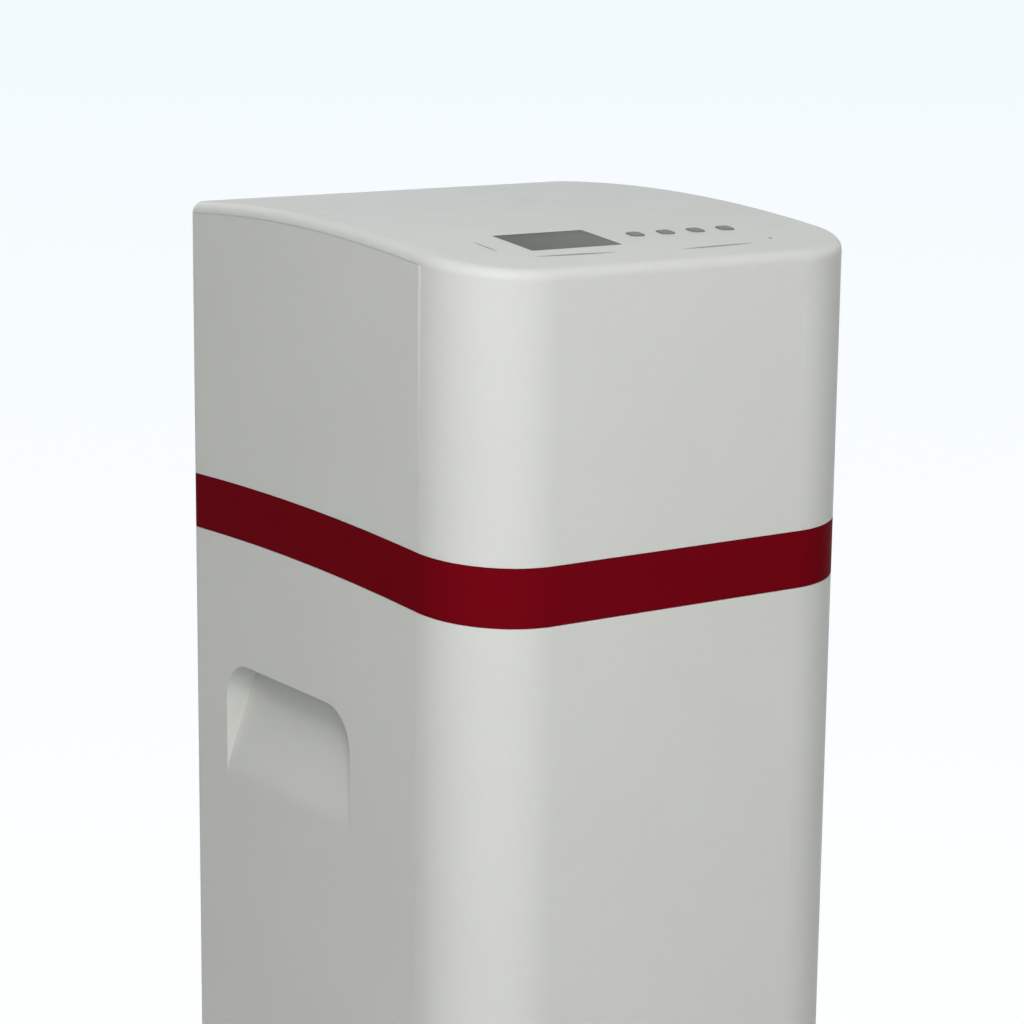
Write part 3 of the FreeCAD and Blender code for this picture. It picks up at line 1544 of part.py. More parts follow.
def make_bypass():
    """The body that crosses from port to port, with a round well for a rotor on each side."""
    near = port_end
    far = bypass_end
    shapes = []
    holes = []
    rings = []
    clips = []
    for x in port_xs:
        shapes.append(pipe_y("bypass_pipe", x, s.port_radius, near, far))
        shapes.append(pipe_y("bypass_front_collar", x, s.collar_radius, near, near + s.collar_length))
        shapes.append(pipe_y("bypass_rear_collar", x, s.collar_radius, far - s.collar_length, far))
        house = tube(s.rotor_house_radius, 0, rotor_house_low, rotor_house_high)
        shapes.append(place(turned("rotor_house", house), x, rotor_y))
        holes.append(pipe_y("bypass_bore", x, s.port_bore_radius, near - SLACK, far + SLACK))
        well = tube(s.rotor_radius + s.rotor_gap, 0, rotor_house_low + s.shell_wall, rotor_house_high + SLACK)
        holes.append(place(turned("rotor_well", well), x, rotor_y))
        for joint in (near, far):
            holes.append(port_groove(x, joint))
            ring = seal_ring("face_o_ring", port_ring, s.face_ring_section, length(0), "y")
            rings.append(place(ring, x, joint, port_z))
            clips.append(coupling_clip("coupling_clip", x, joint))
    cross = turned("bypass_cross", tube(s.rotor_radius, 0, port_xs[0], port_xs[1]), "x")
    shapes.append(place(cross, 0, rotor_y, port_z))
    cross_bore = turned("cross_bore", tube(rotor_way_radius, 0, port_xs[0], port_xs[1]), "x")
    holes.append(place(cross_bore, 0, rotor_y, port_z))
    node("bypass_body", cut("bypass_body", fuse("bypass_solid", *shapes), *holes))
    node("port_o_rings", group("port_o_rings", *rings))
    node("coupling_clips", group("coupling_clips", *clips))


def make_bypass_valve(side, outward):
    """A rotor with a straight way and a side way, and the arrow knob on its stem."""
    x = s.port_spacing / 2 * outward
    bottom = rotor_house_low + s.shell_wall + s.joint_gap
    head_low = rotor_house_high + s.joint_gap
    head_radius = s.rotor_house_radius - s.head_inset
    knob_low = head_low + s.shell_wall
    stem_top = knob_low + s.knob_socket_depth
    profile = [
        (0, bottom),
        (s.rotor_radius, bottom),
        (s.rotor_radius, head_low),
        (head_radius, head_low),
        (head_radius, knob_low),
        (s.knob_stem_radius, knob_low),
        (s.knob_stem_radius, stem_top),
        (0, stem_top),
    ]
    blank = place(turned(f"{side}_rotor_blank", profile), x, rotor_y)
    reach = s.rotor_radius + BITE
    way = pipe_y("rotor_way", x, rotor_way_radius, rotor_y - reach, rotor_y + reach)
    ends = (0, reach) if outward > 0 else (-reach, 0)
    side_way = place(turned("rotor_side_way", tube(rotor_way_radius, 0, *ends), "x"), x, rotor_y, port_z)
    node(f"{side}_bypass_rotor", cut(f"{side}_bypass_rotor", blank, way, side_way))

    r = s.knob_radius
    shoulder = r * math.sqrt(0.5)
    arrow = [
        (x - shoulder, rotor_y + shoulder),
        (x - shoulder, rotor_y - shoulder, r, LEFT),
        (x + shoulder, rotor_y - shoulder, r, LEFT),
        (x + shoulder, rotor_y + shoulder, r, LEFT),
        (x, rotor_y + s.knob_reach),
    ]
    knob = prism(f"{side}_knob_blank", "XY_Plane", [arrow], knob_low, knob_low + s.knob_height)
    socket = hole_z("knob_socket", s.knob_stem_radius, x, rotor_y, knob_low - BITE, stem_top)
    node(f"{side}_bypass_knob", cut(f"{side}_bypass_knob", knob, socket))


def make_adapter(side, outward):
    """The threaded tail that a house pipe screws on to, clipped to the bypass by its own collar."""
    x = s.port_spacing / 2 * outward
    start = bypass_end
    clip_end = start + s.collar_length + s.clip_overlap + s.adapter_relief
    collar_end = clip_end + s.adapter_collar - s.adapter_relief
    end = half_depth - s.port_recess
    adapter = [
        (s.port_bore_radius, start),
        (s.collar_radius, start),
        (s.collar_radius, start + s.collar_length),
        (s.port_radius, start + s.collar_length),
        (s.port_radius, clip_end),
        (s.collar_radius, clip_end),
        (s.collar_radius, collar_end),
        (s.thread_radius, collar_end),
        (s.thread_radius, end),
        (s.port_bore_radius, end),
    ]
    blank = place(turned(f"{side}_adapter_blank", adapter, "y"), x, 0, port_z)
    node(f"{side}_adapter", cut(f"{side}_adapter", blank, port_groove(x, start)))


def make_drain():
    """A moulded elbow: a nut on the drain port, a square corner, and a barb that points to the back."""
    start = s.drain_reach
    nut_end = start + s.collar_length
    barb_x = nut_end + s.elbow_reach
    barb_low = vessel_y + s.elbow_drop
    end = barb_x + s.elbow_radius
    arm = [
        (0, start),
        (s.drain_radius + s.drain_nut_lip, start),
        (s.drain_radius + s.drain_nut_lip, nut_end),
        (s.elbow_radius, nut_end),
        (s.elbow_radius, end - s.elbow_chamfer),
        (s.elbow_radius - s.elbow_chamfer, end),
        (0, end),
    ]
    tail = [
        (0, vessel_y),
        (s.elbow_tail_radius, vessel_y),
        (s.elbow_tail_radius, barb_low),
        (s.barb_radius, barb_low),
        (s.barb_radius, barb_low + s.barb_length),
        (0, barb_low + s.barb_length),
    ]
    solid = fuse(
        "elbow_solid",
        place(turned("elbow_arm", arm, "x"), 0, vessel_y, drain_z),
        place(turned("elbow_tail", tail, "y"), barb_x, 0, drain_z),
    )
    arm_way = tube(s.drain_bore_radius, 0, start - BITE, barb_x + s.barb_bore_radius + BITE)
    tail_way = tube(s.barb_bore_radius, 0, vessel_y, barb_low + s.barb_length + BITE)
    ways = [
        place(turned("elbow_arm_way", arm_way, "x"), 0, vessel_y, drain_z),
        place(turned("elbow_tail_way", tail_way, "y"), barb_x, 0, drain_z),
    ]
    node("drain_elbow", cut("drain_elbow", solid, *ways))


def check(document):
    """Every object is sound before anything is written."""
    for thing in document.Objects:
        if "Invalid" in thing.State or "Error" in thing.State:
            raise RuntimeError(f"{thing.Name} failed: {thing.State}")
    for name, thing in nodes.items():
        shape = thing.Shape
        if shape.isNull() or not shape.isValid() or not shape.Solids or shape.Volume <= 0:
            raise RuntimeError(f"{name} has no sound solid")


def write_parts():
    os.makedirs("parts", exist_ok=True)
    for name, thing in nodes.items():
        thing.Shape.exportStep(f"parts/{name}.step")


make_cabinet()
make_base()
make_trim_band()
make_hood()
make_control_panel()
make_boot()
make_vessel()
make_valve_body()
make_discs()
make_gear_plate()
make_motor()
make_gears()
make_position_board()
make_meter()
make_bypass()
for side, outward in (("outlet", -1), ("inlet", 1)):
    make_bypass_valve(side, outward)
    make_adapter(side, outward)
make_drain()
document.recompute()
check(document)
write_parts()
print(f"{len(nodes)} sub-parts")
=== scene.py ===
"""Looks of the whole house water filter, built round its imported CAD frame. Metres, same frame as the CAD."""

import json
import math

import bmesh
import bpy
from mathutils import Matrix, Vector


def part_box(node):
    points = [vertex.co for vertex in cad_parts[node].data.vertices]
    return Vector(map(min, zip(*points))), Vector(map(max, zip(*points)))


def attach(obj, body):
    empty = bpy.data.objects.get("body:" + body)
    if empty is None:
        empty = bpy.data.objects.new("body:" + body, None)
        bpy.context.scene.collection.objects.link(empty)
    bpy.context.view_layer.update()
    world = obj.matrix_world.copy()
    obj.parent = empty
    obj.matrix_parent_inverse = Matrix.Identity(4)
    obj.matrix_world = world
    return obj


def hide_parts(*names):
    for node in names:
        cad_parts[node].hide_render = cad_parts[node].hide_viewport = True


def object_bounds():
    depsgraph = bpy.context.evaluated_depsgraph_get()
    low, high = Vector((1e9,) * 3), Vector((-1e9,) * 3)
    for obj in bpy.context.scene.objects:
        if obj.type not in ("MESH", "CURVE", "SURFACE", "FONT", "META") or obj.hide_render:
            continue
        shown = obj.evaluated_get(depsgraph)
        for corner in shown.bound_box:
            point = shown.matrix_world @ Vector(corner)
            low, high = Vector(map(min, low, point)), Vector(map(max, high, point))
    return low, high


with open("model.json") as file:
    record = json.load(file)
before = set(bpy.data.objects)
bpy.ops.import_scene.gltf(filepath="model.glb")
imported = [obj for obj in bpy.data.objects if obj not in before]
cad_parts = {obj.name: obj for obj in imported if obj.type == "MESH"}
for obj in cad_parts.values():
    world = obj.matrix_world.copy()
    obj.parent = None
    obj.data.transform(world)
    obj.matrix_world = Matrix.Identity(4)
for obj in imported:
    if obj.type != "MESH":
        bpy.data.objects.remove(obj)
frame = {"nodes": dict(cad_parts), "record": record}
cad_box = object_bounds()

NODES = frame["nodes"]
MM = 0.001

# Camera, fitted to the cabinet's edges in the photograph
PHOTO_WIDTH = 1024
FOCAL_PIXELS = 2940.456
CAMERA_PLACE = (-1.19606, -1.7199, 1.3457)
CAMERA_YAW = 34.6545
CAMERA_PITCH = 11.8234
CAMERA_ROLL = 0.6081

# The hood's top is an arch from front to back, and the control panel slopes with it
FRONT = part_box("cabinet_shell")[0].y
ARCH_RADIUS = 1630 * MM
ARCH_CREST_Z = cad_box[1][2]
ARCH_CREST_Y = FRONT + 246 * MM
PANEL_Y = FRONT + 72 * MM
PANEL_SLOPE = math.asin((ARCH_CREST_Y - PANEL_Y) / ARCH_RADIUS)

# Underside of the control board, measured down from the panel's skin
BOARD_UNDERSIDE = -11.9 * MM

# Floors of the grips: a ramp of a set slope from the deepest point under the roof out to the side wall
GRIP_DEPTH = 22 * MM
GRIP_HEAD_Z = 775 * MM
GRIP_FOOT_Z = 702 * MM
GRIP_SLOPE = 0.36

# Light on the object, and the white that the camera sees behind it
AMBIENT = 0.04
MIDDLE = Vector((0, 0, 0.85))
LAMP_DISTANCE = 3.4
HIGH_WHITE = (0.888, 0.955, 0.99, 1)
LOW_WHITE = (0.99, 1.0, 1.0, 1)


def add_camera():
    yaw, pitch, roll = (math.radians(angle) for angle in (CAMERA_YAW, CAMERA_PITCH, CAMERA_ROLL))
    forward = Vector((math.sin(yaw) * math.cos(pitch), math.cos(yaw) * math.cos(pitch), -math.sin(pitch)))
    level = Vector((math.cos(yaw), -math.sin(yaw), 0))
    upright = level.cross(forward)
    right = math.cos(roll) * level + math.sin(roll) * upright
    up = math.cos(roll) * upright - math.sin(roll) * level
    data = bpy.data.cameras.new("camera")
    data.sensor_width = 36.0
    data.lens = FOCAL_PIXELS * data.sensor_width / PHOTO_WIDTH
    data.clip_start = 0.05
    data.clip_end = 200
    camera = bpy.data.objects.new("camera", data)
    turn = Matrix((right, up, -forward)).transposed().to_4x4()
    camera.matrix_world = Matrix.Translation(CAMERA_PLACE) @ turn
    bpy.context.scene.collection.objects.link(camera)
    bpy.context.scene.camera = camera


# Finishes


class Shader:
    """A Principled material with short calls for the nodes that feed it."""

    def __init__(self, name, color, roughness, metallic=0.0, **sockets):
        self.material = bpy.data.materials.new(name)
        self.material.use_nodes = True
        self.tree = self.material.node_tree
        self.bsdf = self.tree.nodes["Principled BSDF"]
        self.color = (*color, 1.0)
        self.bsdf.inputs["Base Color"].default_value = self.color
        self.bsdf.inputs["Roughness"].default_value = roughness
        self.bsdf.inputs["Metallic"].default_value = metallic
        for socket, value in sockets.items():
            self.bsdf.inputs[socket.replace("_", " ")].default_value = value
        self.place = self.tree.nodes.new("ShaderNodeTexCoord").outputs["Object"]
        self.material.diffuse_color = self.color

    def add(self, kind, **settings):
        node = self.tree.nodes.new("ShaderNode" + kind)
        for key, value in settings.items():
            if key in node.inputs:
                node.inputs[key].default_value = value
            else:
                setattr(node, key, value)
        return node

    def link(self, start, end):
        self.tree.links.new(start, end)

    def stretched(self, scale):
        mapping = self.add("Mapping")
        mapping.inputs["Scale"].default_value = scale
        self.link(self.place, mapping.inputs["Vector"])
        return mapping.outputs["Vector"]

    def axis(self, name):
        """One coordinate of the place on the object, in metres."""
        split = self.add("SeparateXYZ")
        self.link(self.place, split.inputs[0])
        return split.outputs[name]

    def math(self, operation, *values):
        node = self.add("Math", operation=operation)
        for index, value in enumerate(values):
            if isinstance(value, (int, float)):
                node.inputs[index].default_value = value
            else:
                self.link(value, node.inputs[index])
        return node.outputs["Value"]

    def noise(self, scale, detail, stretch=None):
        node = self.add("TexNoise", Scale=scale, Detail=detail)
        self.link(self.stretched(stretch) if stretch else self.place, node.inputs["Vector"])
        return node.outputs["Fac"]

    def cells(self, scale, feature="F1"):
        node = self.add("TexVoronoi", Scale=scale, feature=feature)
        self.link(self.place, node.inputs["Vector"])
        return node.outputs["Distance"]

    def waves(self, scale):
        node = self.add("TexWave", Scale=scale)
        self.link(self.place, node.inputs["Vector"])
        return node.outputs["Fac"]

    def spread(self, fac, low, high, start=0.0, end=1.0):
        """Maps a texture's start to end on low to high, with a soft turn at both."""
        node = self.add("MapRange", interpolation_type="SMOOTHSTEP")
        for socket, value in (("From Min", start), ("From Max", end), ("To Min", low), ("To Max", high)):
            node.inputs[socket].default_value = value
        self.link(fac, node.inputs["Value"])
        return node.outputs["Result"]

    def blend_color(self, blend, factor, second):
        """Puts a mix with a second colour in front of what the base colour has now."""
        node = self.add("Mix", data_type="RGBA", blend_type=blend)
        first, other = (socket for socket in node.inputs if socket.type == "RGBA")
        base = self.bsdf.inputs["Base Color"]
        if base.is_linked:
            self.link(base.links[0].from_socket, first)
        else:
            first.default_value = self.color
        for value, socket in ((factor, node.inputs["Factor"]), (second, other)):
            if isinstance(value, (float, tuple)):
                socket.default_value = value
            else:
                self.link(value, socket)
        result = next(socket for socket in node.outputs if socket.type == "RGBA")
        self.link(result, base)

    def tone(self, fac, low, high, start=0.0, end=1.0):
        """Multiplies the colour by a factor that follows a texture."""
        value = self.spread(fac, low, high, start, end)
        shade = self.add("CombineColor")
        for channel in ("Red", "Green", "Blue"):
            self.link(value, shade.inputs[channel])
        self.blend_color("MULTIPLY", 1.0, shade.outputs["Color"])

    def between(self, fac, other, start=0.0, end=1.0):
        """Mixes towards another colour as a texture runs from start to end."""
        self.blend_color("MIX", self.spread(fac, 0.0, 1.0, start, end), (*other, 1.0))

    def rough(self, fac, low, high):
        self.link(self.spread(fac, low, high), self.bsdf.inputs["Roughness"])

    def bump(self, fac, height, strength=1.0):
        node = self.add("Bump", Strength=strength, Distance=height)
        self.link(fac, node.inputs["Height"])
        self.turn_normal(node)

    def soften(self, radius):
        """Rounds sharp edges in the shading, as the edges of a moulding are."""
        self.turn_normal(self.add("Bevel", Radius=radius, samples=6))

    def turn_normal(self, node):
        normal = self.bsdf.inputs["Normal"]
        if normal.is_linked:
            self.link(normal.links[0].from_socket, node.inputs["Normal"])
        self.link(node.outputs["Normal"], normal)


def moulded(name, color, roughness, grain=0.00004, size=2200, edge=0.0, **sockets):
    """Injection-moulded plastic: softened edges, a fine eroded grain, and a drift of tone and gloss."""
    gloss_drift = 0.05
    shader = Shader(name, color, roughness, **sockets)
    shader.tone(shader.noise(7, 3), 0.975, 1.02)
    shader.tone(shader.noise(260, 3), 0.985, 1.012)
    shader.rough(shader.noise(23, 4), roughness - gloss_drift, roughness + gloss_drift)
    if edge:
        shader.soften(edge)
    shader.bump(shader.noise(size, 2), grain)
    return shader


def plastics():
    """The plain plastics, by name. Grain is the height of the bumps, size is how many go to a metre, and
    edge is the radius that softens an edge."""
    recipes = {
        "shell_white": {
            "color": (0.545, 0.551, 0.522),
            "roughness": 0.38,
            "grain": 0.00003,
            "size": 2000,
            "edge": 0.0006,
            "Specular_IOR_Level": 0.14,
        },
        "button_grey": {
            "color": (0.17, 0.172, 0.16),
            "roughness": 0.5,
            "edge": 0.0003,
            "Specular_IOR_Level": 0.15,
        },
        # The grey of the painted crease shade lines on the hood's top.
        "print_grey": {"color": (0.27, 0.275, 0.255), "roughness": 0.55, "Specular_IOR_Level": 0.1},
        "tray_grey": {
            "color": (0.05, 0.052, 0.055),
            "roughness": 0.55,
            "grain": 0.00008,
            "size": 1200,
            "edge": 0.0005,
        },
        "valve_black": {
            "color": (0.016, 0.016, 0.017),
            "roughness": 0.42,
            "grain": 0.00006,
            "size": 1400,
            "edge": 0.0004,
        },
        "bypass_grey": {
            "color": (0.075, 0.078, 0.082),
            "roughness": 0.45,
            "grain": 0.00006,
            "size": 1400,
            "edge": 0.0004,
        },
        "knob_red": {"color": (0.33, 0.012, 0.012), "roughness": 0.4, "size": 1400, "edge": 0.0006},
        "clip_white": {
            "color": (0.6, 0.6, 0.57),
            "roughness": 0.4,
            "grain": 0.00003,
            "size": 1400,
            "edge": 0.0003,
        },
        "gear_white": {
            "color": (0.66, 0.64, 0.56),
            "roughness": 0.34,
            "grain": 0.00002,
            "size": 1400,
            "edge": 0.0002,
        },
        "riser_white": {"color": (0.56, 0.56, 0.54), "roughness": 0.42, "grain": 0.00003, "size": 1400},
        "module_grey": {"color": (0.1, 0.12, 0.1), "roughness": 0.45, "edge": 0.0003},
        "chip_black": {"color": (0.02, 0.02, 0.022), "roughness": 0.5, "grain": 0.00002, "size": 2600},
    }
    made = {name: moulded(name, **recipe) for name, recipe in recipes.items()}
    glass_filled = made["valve_black"]
    glass_filled.tone(glass_filled.noise(90, 5, (1, 1, 0.25)), 0.8, 1.4)
    return made


def band_red():
    """Dark red gloss plastic whose highlights stay red, as on the photographed band."""
    shader = moulded("band_red", (0.137, 0.002, 0.006), 0.45, grain=0.00002, size=1600, edge=0.0004, IOR=1.5)
    shader.bsdf.inputs["Specular IOR Level"].default_value = 0.004
    shader.bsdf.inputs["Specular Tint"].default_value = (1.0, 0.05, 0.12, 1.0)
    return shader


def display_window():
    """A smoked window with painted shade, darker to the back where the recess shades it, and a painted
    reflection that brightens it from left to right.
    """
    low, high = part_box("display_lens")
    shade_start = low.y + 0.6 * (high.y - low.y)
    shader = Shader("lens", (0.1, 0.1, 0.088), 0.32, IOR=1.5)
    shader.bsdf.inputs["Specular IOR Level"].default_value = 0.03
    # Painted shade towards the back and a painted reflection brighter to the right, both multiplied into the
    # base colour.
    shader.tone(shader.axis("Y"), 1.0, 0.78, shade_start, high.y)
    shader.tone(shader.axis("X"), 0.82, 1.14, low.x, high.x)
    shader.tone(shader.noise(30, 3), 0.98, 1.02)
    shader.rough(shader.noise(60, 3), 0.28, 0.36)
    shader.bump(shader.noise(900, 2), 0.000004)
    return shader


def black_rubber():
    shader = Shader("rubber_black", (0.018, 0.018, 0.019), 0.75)
    shader.tone(shader.noise(40, 4), 0.8, 1.3)
    shader.rough(shader.noise(90, 3), 0.68, 0.85)
    shader.soften(0.0004)
    shader.bump(shader.noise(1800, 3), 0.00009)
    return shader


def brushed_steel():
    shader = Shader("steel", (0.5, 0.49, 0.47), 0.3, 1.0)
    shader.tone(shader.noise(120, 3), 0.9, 1.05)
    shader.rough(shader.noise(300, 3, (1, 1, 0.06)), 0.2, 0.42)
    shader.soften(0.0002)
    shader.bump(shader.noise(900, 2, (1, 1, 0.05)), 0.00001)
    return shader


def sintered_magnet():
    shader = Shader("magnet", (0.05, 0.05, 0.055), 0.45, 0.6)
    shader.tone(shader.noise(600, 3), 0.8, 1.2)
    shader.bump(shader.noise(3000, 2), 0.00003)
    return shader


def fired_ceramic():
    shader = Shader("ceramic", (0.72, 0.70, 0.64), 0.16)
    shader.tone(shader.noise(60, 3), 0.95, 1.03)
    shader.tone(shader.noise(2500, 2), 0.97, 1.02)
    shader.rough(shader.noise(200, 3), 0.1, 0.24)
    return shader


def wound_vessel():
    """Glass rovings wound both ways round the vessel at a slant, under a coat of resin."""
    rovings_round = 72.0
    rovings_up = 560.0
    low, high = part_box("pressure_vessel")
    shader = Shader("vessel_blue", (0.035, 0.055, 0.09), 0.4)
    from_axis = shader.math("SUBTRACT", shader.axis("Y"), (low.y + high.y) / 2)
    angle = shader.math("ARCTAN2", from_axis, shader.axis("X"))
    around = shader.math("MULTIPLY", angle, rovings_round)
    shader.tone(shader.noise(12, 4), 0.8, 1.25)
    for slant in (rovings_up, -rovings_up):
        climb = shader.math("MULTIPLY", shader.axis("Z"), slant)
        roving = shader.math("SINE", shader.math("ADD", around, climb))
        shader.tone(roving, 0.88, 1.12, -1.0, 1.0)
        shader.bump(roving, 0.0001)
    shader.rough(shader.noise(40, 4), 0.32, 0.5)
    shader.bump(shader.noise(500, 3), 0.00008)
    return shader


def loose_bed(name, color, dark, size):
    shader = Shader(name, color, 0.85)
    grains = shader.cells(size)
    shader.between(grains, dark, 0.25, 0.75)
    shader.tone(shader.noise(size / 4, 3), 0.8, 1.2)
    shader.rough(shader.noise(size, 2), 0.75, 0.95)
    shader.bump(grains, 0.3 / size, 0.8)
    return shader


def circuit_board():
    shader = Shader("board_green", (0.012, 0.085, 0.035), 0.4)
    weave = shader.waves(900)
    shader.tone(weave, 0.92, 1.06)
    shader.between(shader.cells(420, "DISTANCE_TO_EDGE"), (0.03, 0.16, 0.07), 0.06, 0.02)
    shader.rough(shader.noise(200, 3), 0.32, 0.46)
    shader.bump(weave, 0.00002)
    return shader


def light_guide():
    shader = Shader("light_pipe", (0.16, 0.17, 0.155), 0.25, IOR=1.49)
    shader.bsdf.inputs["Transmission Weight"].default_value = 0.3
    shader.tone(shader.noise(300, 2), 0.95, 1.05)
    shader.rough(shader.noise(500, 2), 0.2, 0.32)
    return shader


def make_finishes():
    made = plastics()
    made["band_red"] = band_red()
    made["lens"] = display_window()
    made["rubber_black"] = black_rubber()
    made["steel"] = brushed_steel()
    made["magnet"] = sintered_magnet()
    made["ceramic"] = fired_ceramic()
    made["vessel_blue"] = wound_vessel()
    made["gravel"] = loose_bed("gravel", (0.42, 0.36, 0.29), (0.2, 0.17, 0.14), 160)
    made["sand"] = loose_bed("sand", (0.52, 0.42, 0.28), (0.34, 0.26, 0.16), 900)
    made["carbon"] = loose_bed("carbon", (0.013, 0.013, 0.014), (0.004, 0.004, 0.004), 500)
    made["board_green"] = circuit_board()
    made["light_pipe"] = light_guide()
    return {name: shader.material for name, shader in made.items()}


FINISHES = make_finishes()


def dress_nodes():
    """Each node of the frame gets the finish of its material slot."""
    for part in frame["record"]["subparts"]:
        node = NODES[part["node"]]
        finish = FINISHES[part["material_slot"]]
        if not node.material_slots:
            node.data.materials.append(finish)
        for slot in node.material_slots:
            slot.material = finish


# Pieces


def add_piece(name, verts, faces, body, slot, finish=None):
    """A new mesh piece that rides on a body and takes the finish named by finish, or else that of one of the
    record's slots.
    """
    mesh = bpy.data.meshes.new(name)
    mesh.from_pydata([tuple(vert) for vert in verts], [], faces)
    mesh.materials.append(FINISHES[finish or slot])
    piece = bpy.data.objects.new(name, mesh)
    bpy.context.scene.collection.objects.link(piece)
    smooth_by_angle(mesh)
    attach(piece, body)
    return piece


def smooth_by_angle(mesh):
    """Outward faces with smooth shading, except across sharp edges."""
    sharp = math.radians(35)
    form = bmesh.new()
    form.from_mesh(mesh)
    bmesh.ops.recalc_face_normals(form, faces=form.faces)
    for edge in form.edges:
        edge.smooth = len(edge.link_faces) == 2 and edge.calc_face_angle(0.0) < sharp
    for face in form.faces:
        face.smooth = True
    form.to_mesh(mesh)
    form.free()


def lathe(rings, centre_x, centre_z, steps):
    """Points and faces of a closed form turned about an axis along Y. A ring is (radius, y), and its radius
    may be a function of the share of a turn."""
    verts = []
    for radius, y in rings:
        for step in range(steps):
            turn = step / steps
            reach = radius(turn) if callable(radius) else radius
            angle = 2 * math.pi * turn
            verts.append((centre_x + reach * math.sin(angle), y, centre_z + reach * math.cos(angle)))
    faces = []
    for ring in range(len(rings)):
        first = ring * steps
        second = (ring + 1) % len(rings) * steps
        for step in range(steps):
            beside = (step + 1) % steps
            faces.append((first + step, first + beside, second + beside, second + step))
    return verts, faces


def loft(rings):
    """Points and faces of a closed form that runs through rings of points, with a flat face at each end."""
    count = len(rings[0])
    verts = [vert for ring in rings for vert in ring]
    last = len(verts) - count
    faces = [tuple(reversed(range(count))), tuple(range(last, last + count))]
    for first in range(0, last, count):
        for i in range(count):
            j = (i + 1) % count
            faces.append((first + i, first + j, first + count + j, first + count + i))
    return verts, faces


def arch_z(y, drop=0.0):
    """Height of the hood's top at depth y, or of the arch that runs at a drop below it."""
    return ARCH_CREST_Z - ARCH_RADIUS + math.sqrt((ARCH_RADIUS - drop) ** 2 - (y - ARCH_CREST_Y) ** 2)


# Lines of painted shade from shallow creases on the hood's top


def crease_shade_line(name, start, end, width):
    """A line of painted crease shade on the arch, as a thin closed form that swells from both ends. Each end
    is an x and a distance behind the front."""
    lift = 0.04 * MM
    sunk = 0.2 * MM
    steps = 24
    tip_swell = 0.06
    swell_power = 0.7
    way = end - start
    across = Vector((-way.y, way.x)).normalized()
    rings = []
    for step in range(steps + 1):
        swell = max(tip_swell, math.sin(math.pi * step / steps) ** swell_power)
        ring = []
        for side, rise in ((-0.5, lift), (0.5, lift), (0.5, -sunk), (-0.5, -sunk)):
            spot = start + way * step / steps + across * width * swell * side
            y = FRONT + spot.y
            ring.append((spot.x, y, arch_z(y) + rise))
        rings.append(ring)
    # The line is painted shade from a shallow crease, drawn in a dark grey.
    add_piece(name, *loft(rings), "hood", "button_grey", "print_grey")


def add_crease_shade_lines():
    """Grey lines of painted shade from shallow creases: before the display and buttons, and at the left."""
    marks = {
        "mark_window": {"start": (-99.6, 33.5), "end": (-36.5, 30.2), "width": 3.4},
        "mark_buttons": {"start": (15.3, 25.9), "end": (78.4, 28.4), "width": 3.2},
        "mark_side": {"start": (-116.0, 52.0), "end": (-116.0, 81.2), "width": 1.9},
    }
    for name, mark in marks.items():
        crease_shade_line(name, Vector(mark["start"]) * MM, Vector(mark["end"]) * MM, mark["width"] * MM)


# Seam between the hood's two mouldings


def seam_stations(inset):
    """Pairs of points on the cover's and the rear shell's side of the seam, at an inset from the skin. They
    go up the left side from the band, along it under the rolled edge, and round the corner to the back."""
    rolled_edge = 8 * MM
    gap = 0.4 * MM
    bite = 0.1 * MM
    corner = 15 * MM
    side_steps = 30
    corner_steps = 8
    half_width, back = cad_box[1][:2]
    rear_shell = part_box("hood_rear_shell")[0]
    near, far = rear_shell.y - gap - bite, rear_shell.y + bite
    upper, lower = rolled_edge - bite, rolled_edge + gap + bite
    side = inset - half_width

    def under_edge(x, y):
        return (x, y, arch_z(y, upper)), (x, y, arch_z(y, lower))

    pairs = [((side, near, rear_shell.z), (side, far, rear_shell.z))]
    pairs.append(((side, near, arch_z(near, upper)), (side, far, arch_z(far, lower))))
    for step in range(1, side_steps + 1):
        pairs.append(under_edge(side, far + (back - corner - far) * step / side_steps))
    for step in range(1, corner_steps + 1):
        turn = math.pi / 2 * step / corner_steps
        x = corner - half_width - (corner - inset) * math.cos(turn)
        pairs.append(under_edge(x, back - corner + (corner - inset) * math.sin(turn)))
    return pairs


def seam_tongue():
    """The tongue that closes the seam from inside, a little below the skin, from band to band."""
    sunk = 0.12 * MM
    thick = 1.2 * MM
    half = []
    for outer, inner in zip(seam_stations(sunk), seam_stations(sunk + thick)):
        half.append((*outer, *reversed(inner)))
    mirrored = [[(-x, y, z) for x, y, z in ring] for ring in reversed(half)]
    add_piece("seam_tongue", *loft(half + mirrored), "hood", "shell_white")


# Grip floors


def grip_floor(z):
    """Depth of a grip's floor behind the side wall, and its slope there: a straight ramp with soft ends."""
    head_turn = 8 * MM
    foot_turn = 2 * (GRIP_HEAD_Z - GRIP_FOOT_Z - head_turn / 2 - GRIP_DEPTH / GRIP_SLOPE)
    below_head = GRIP_HEAD_Z - z
    above_foot = z - GRIP_FOOT_Z
    if below_head < head_turn:
        return GRIP_DEPTH - GRIP_SLOPE * below_head**2 / (2 * head_turn), GRIP_SLOPE * below_head / head_turn
    if above_foot < foot_turn:
        return GRIP_SLOPE * above_foot**2 / (2 * foot_turn), GRIP_SLOPE * above_foot / foot_turn
    return GRIP_DEPTH - GRIP_SLOPE * (below_head - head_turn / 2), GRIP_SLOPE


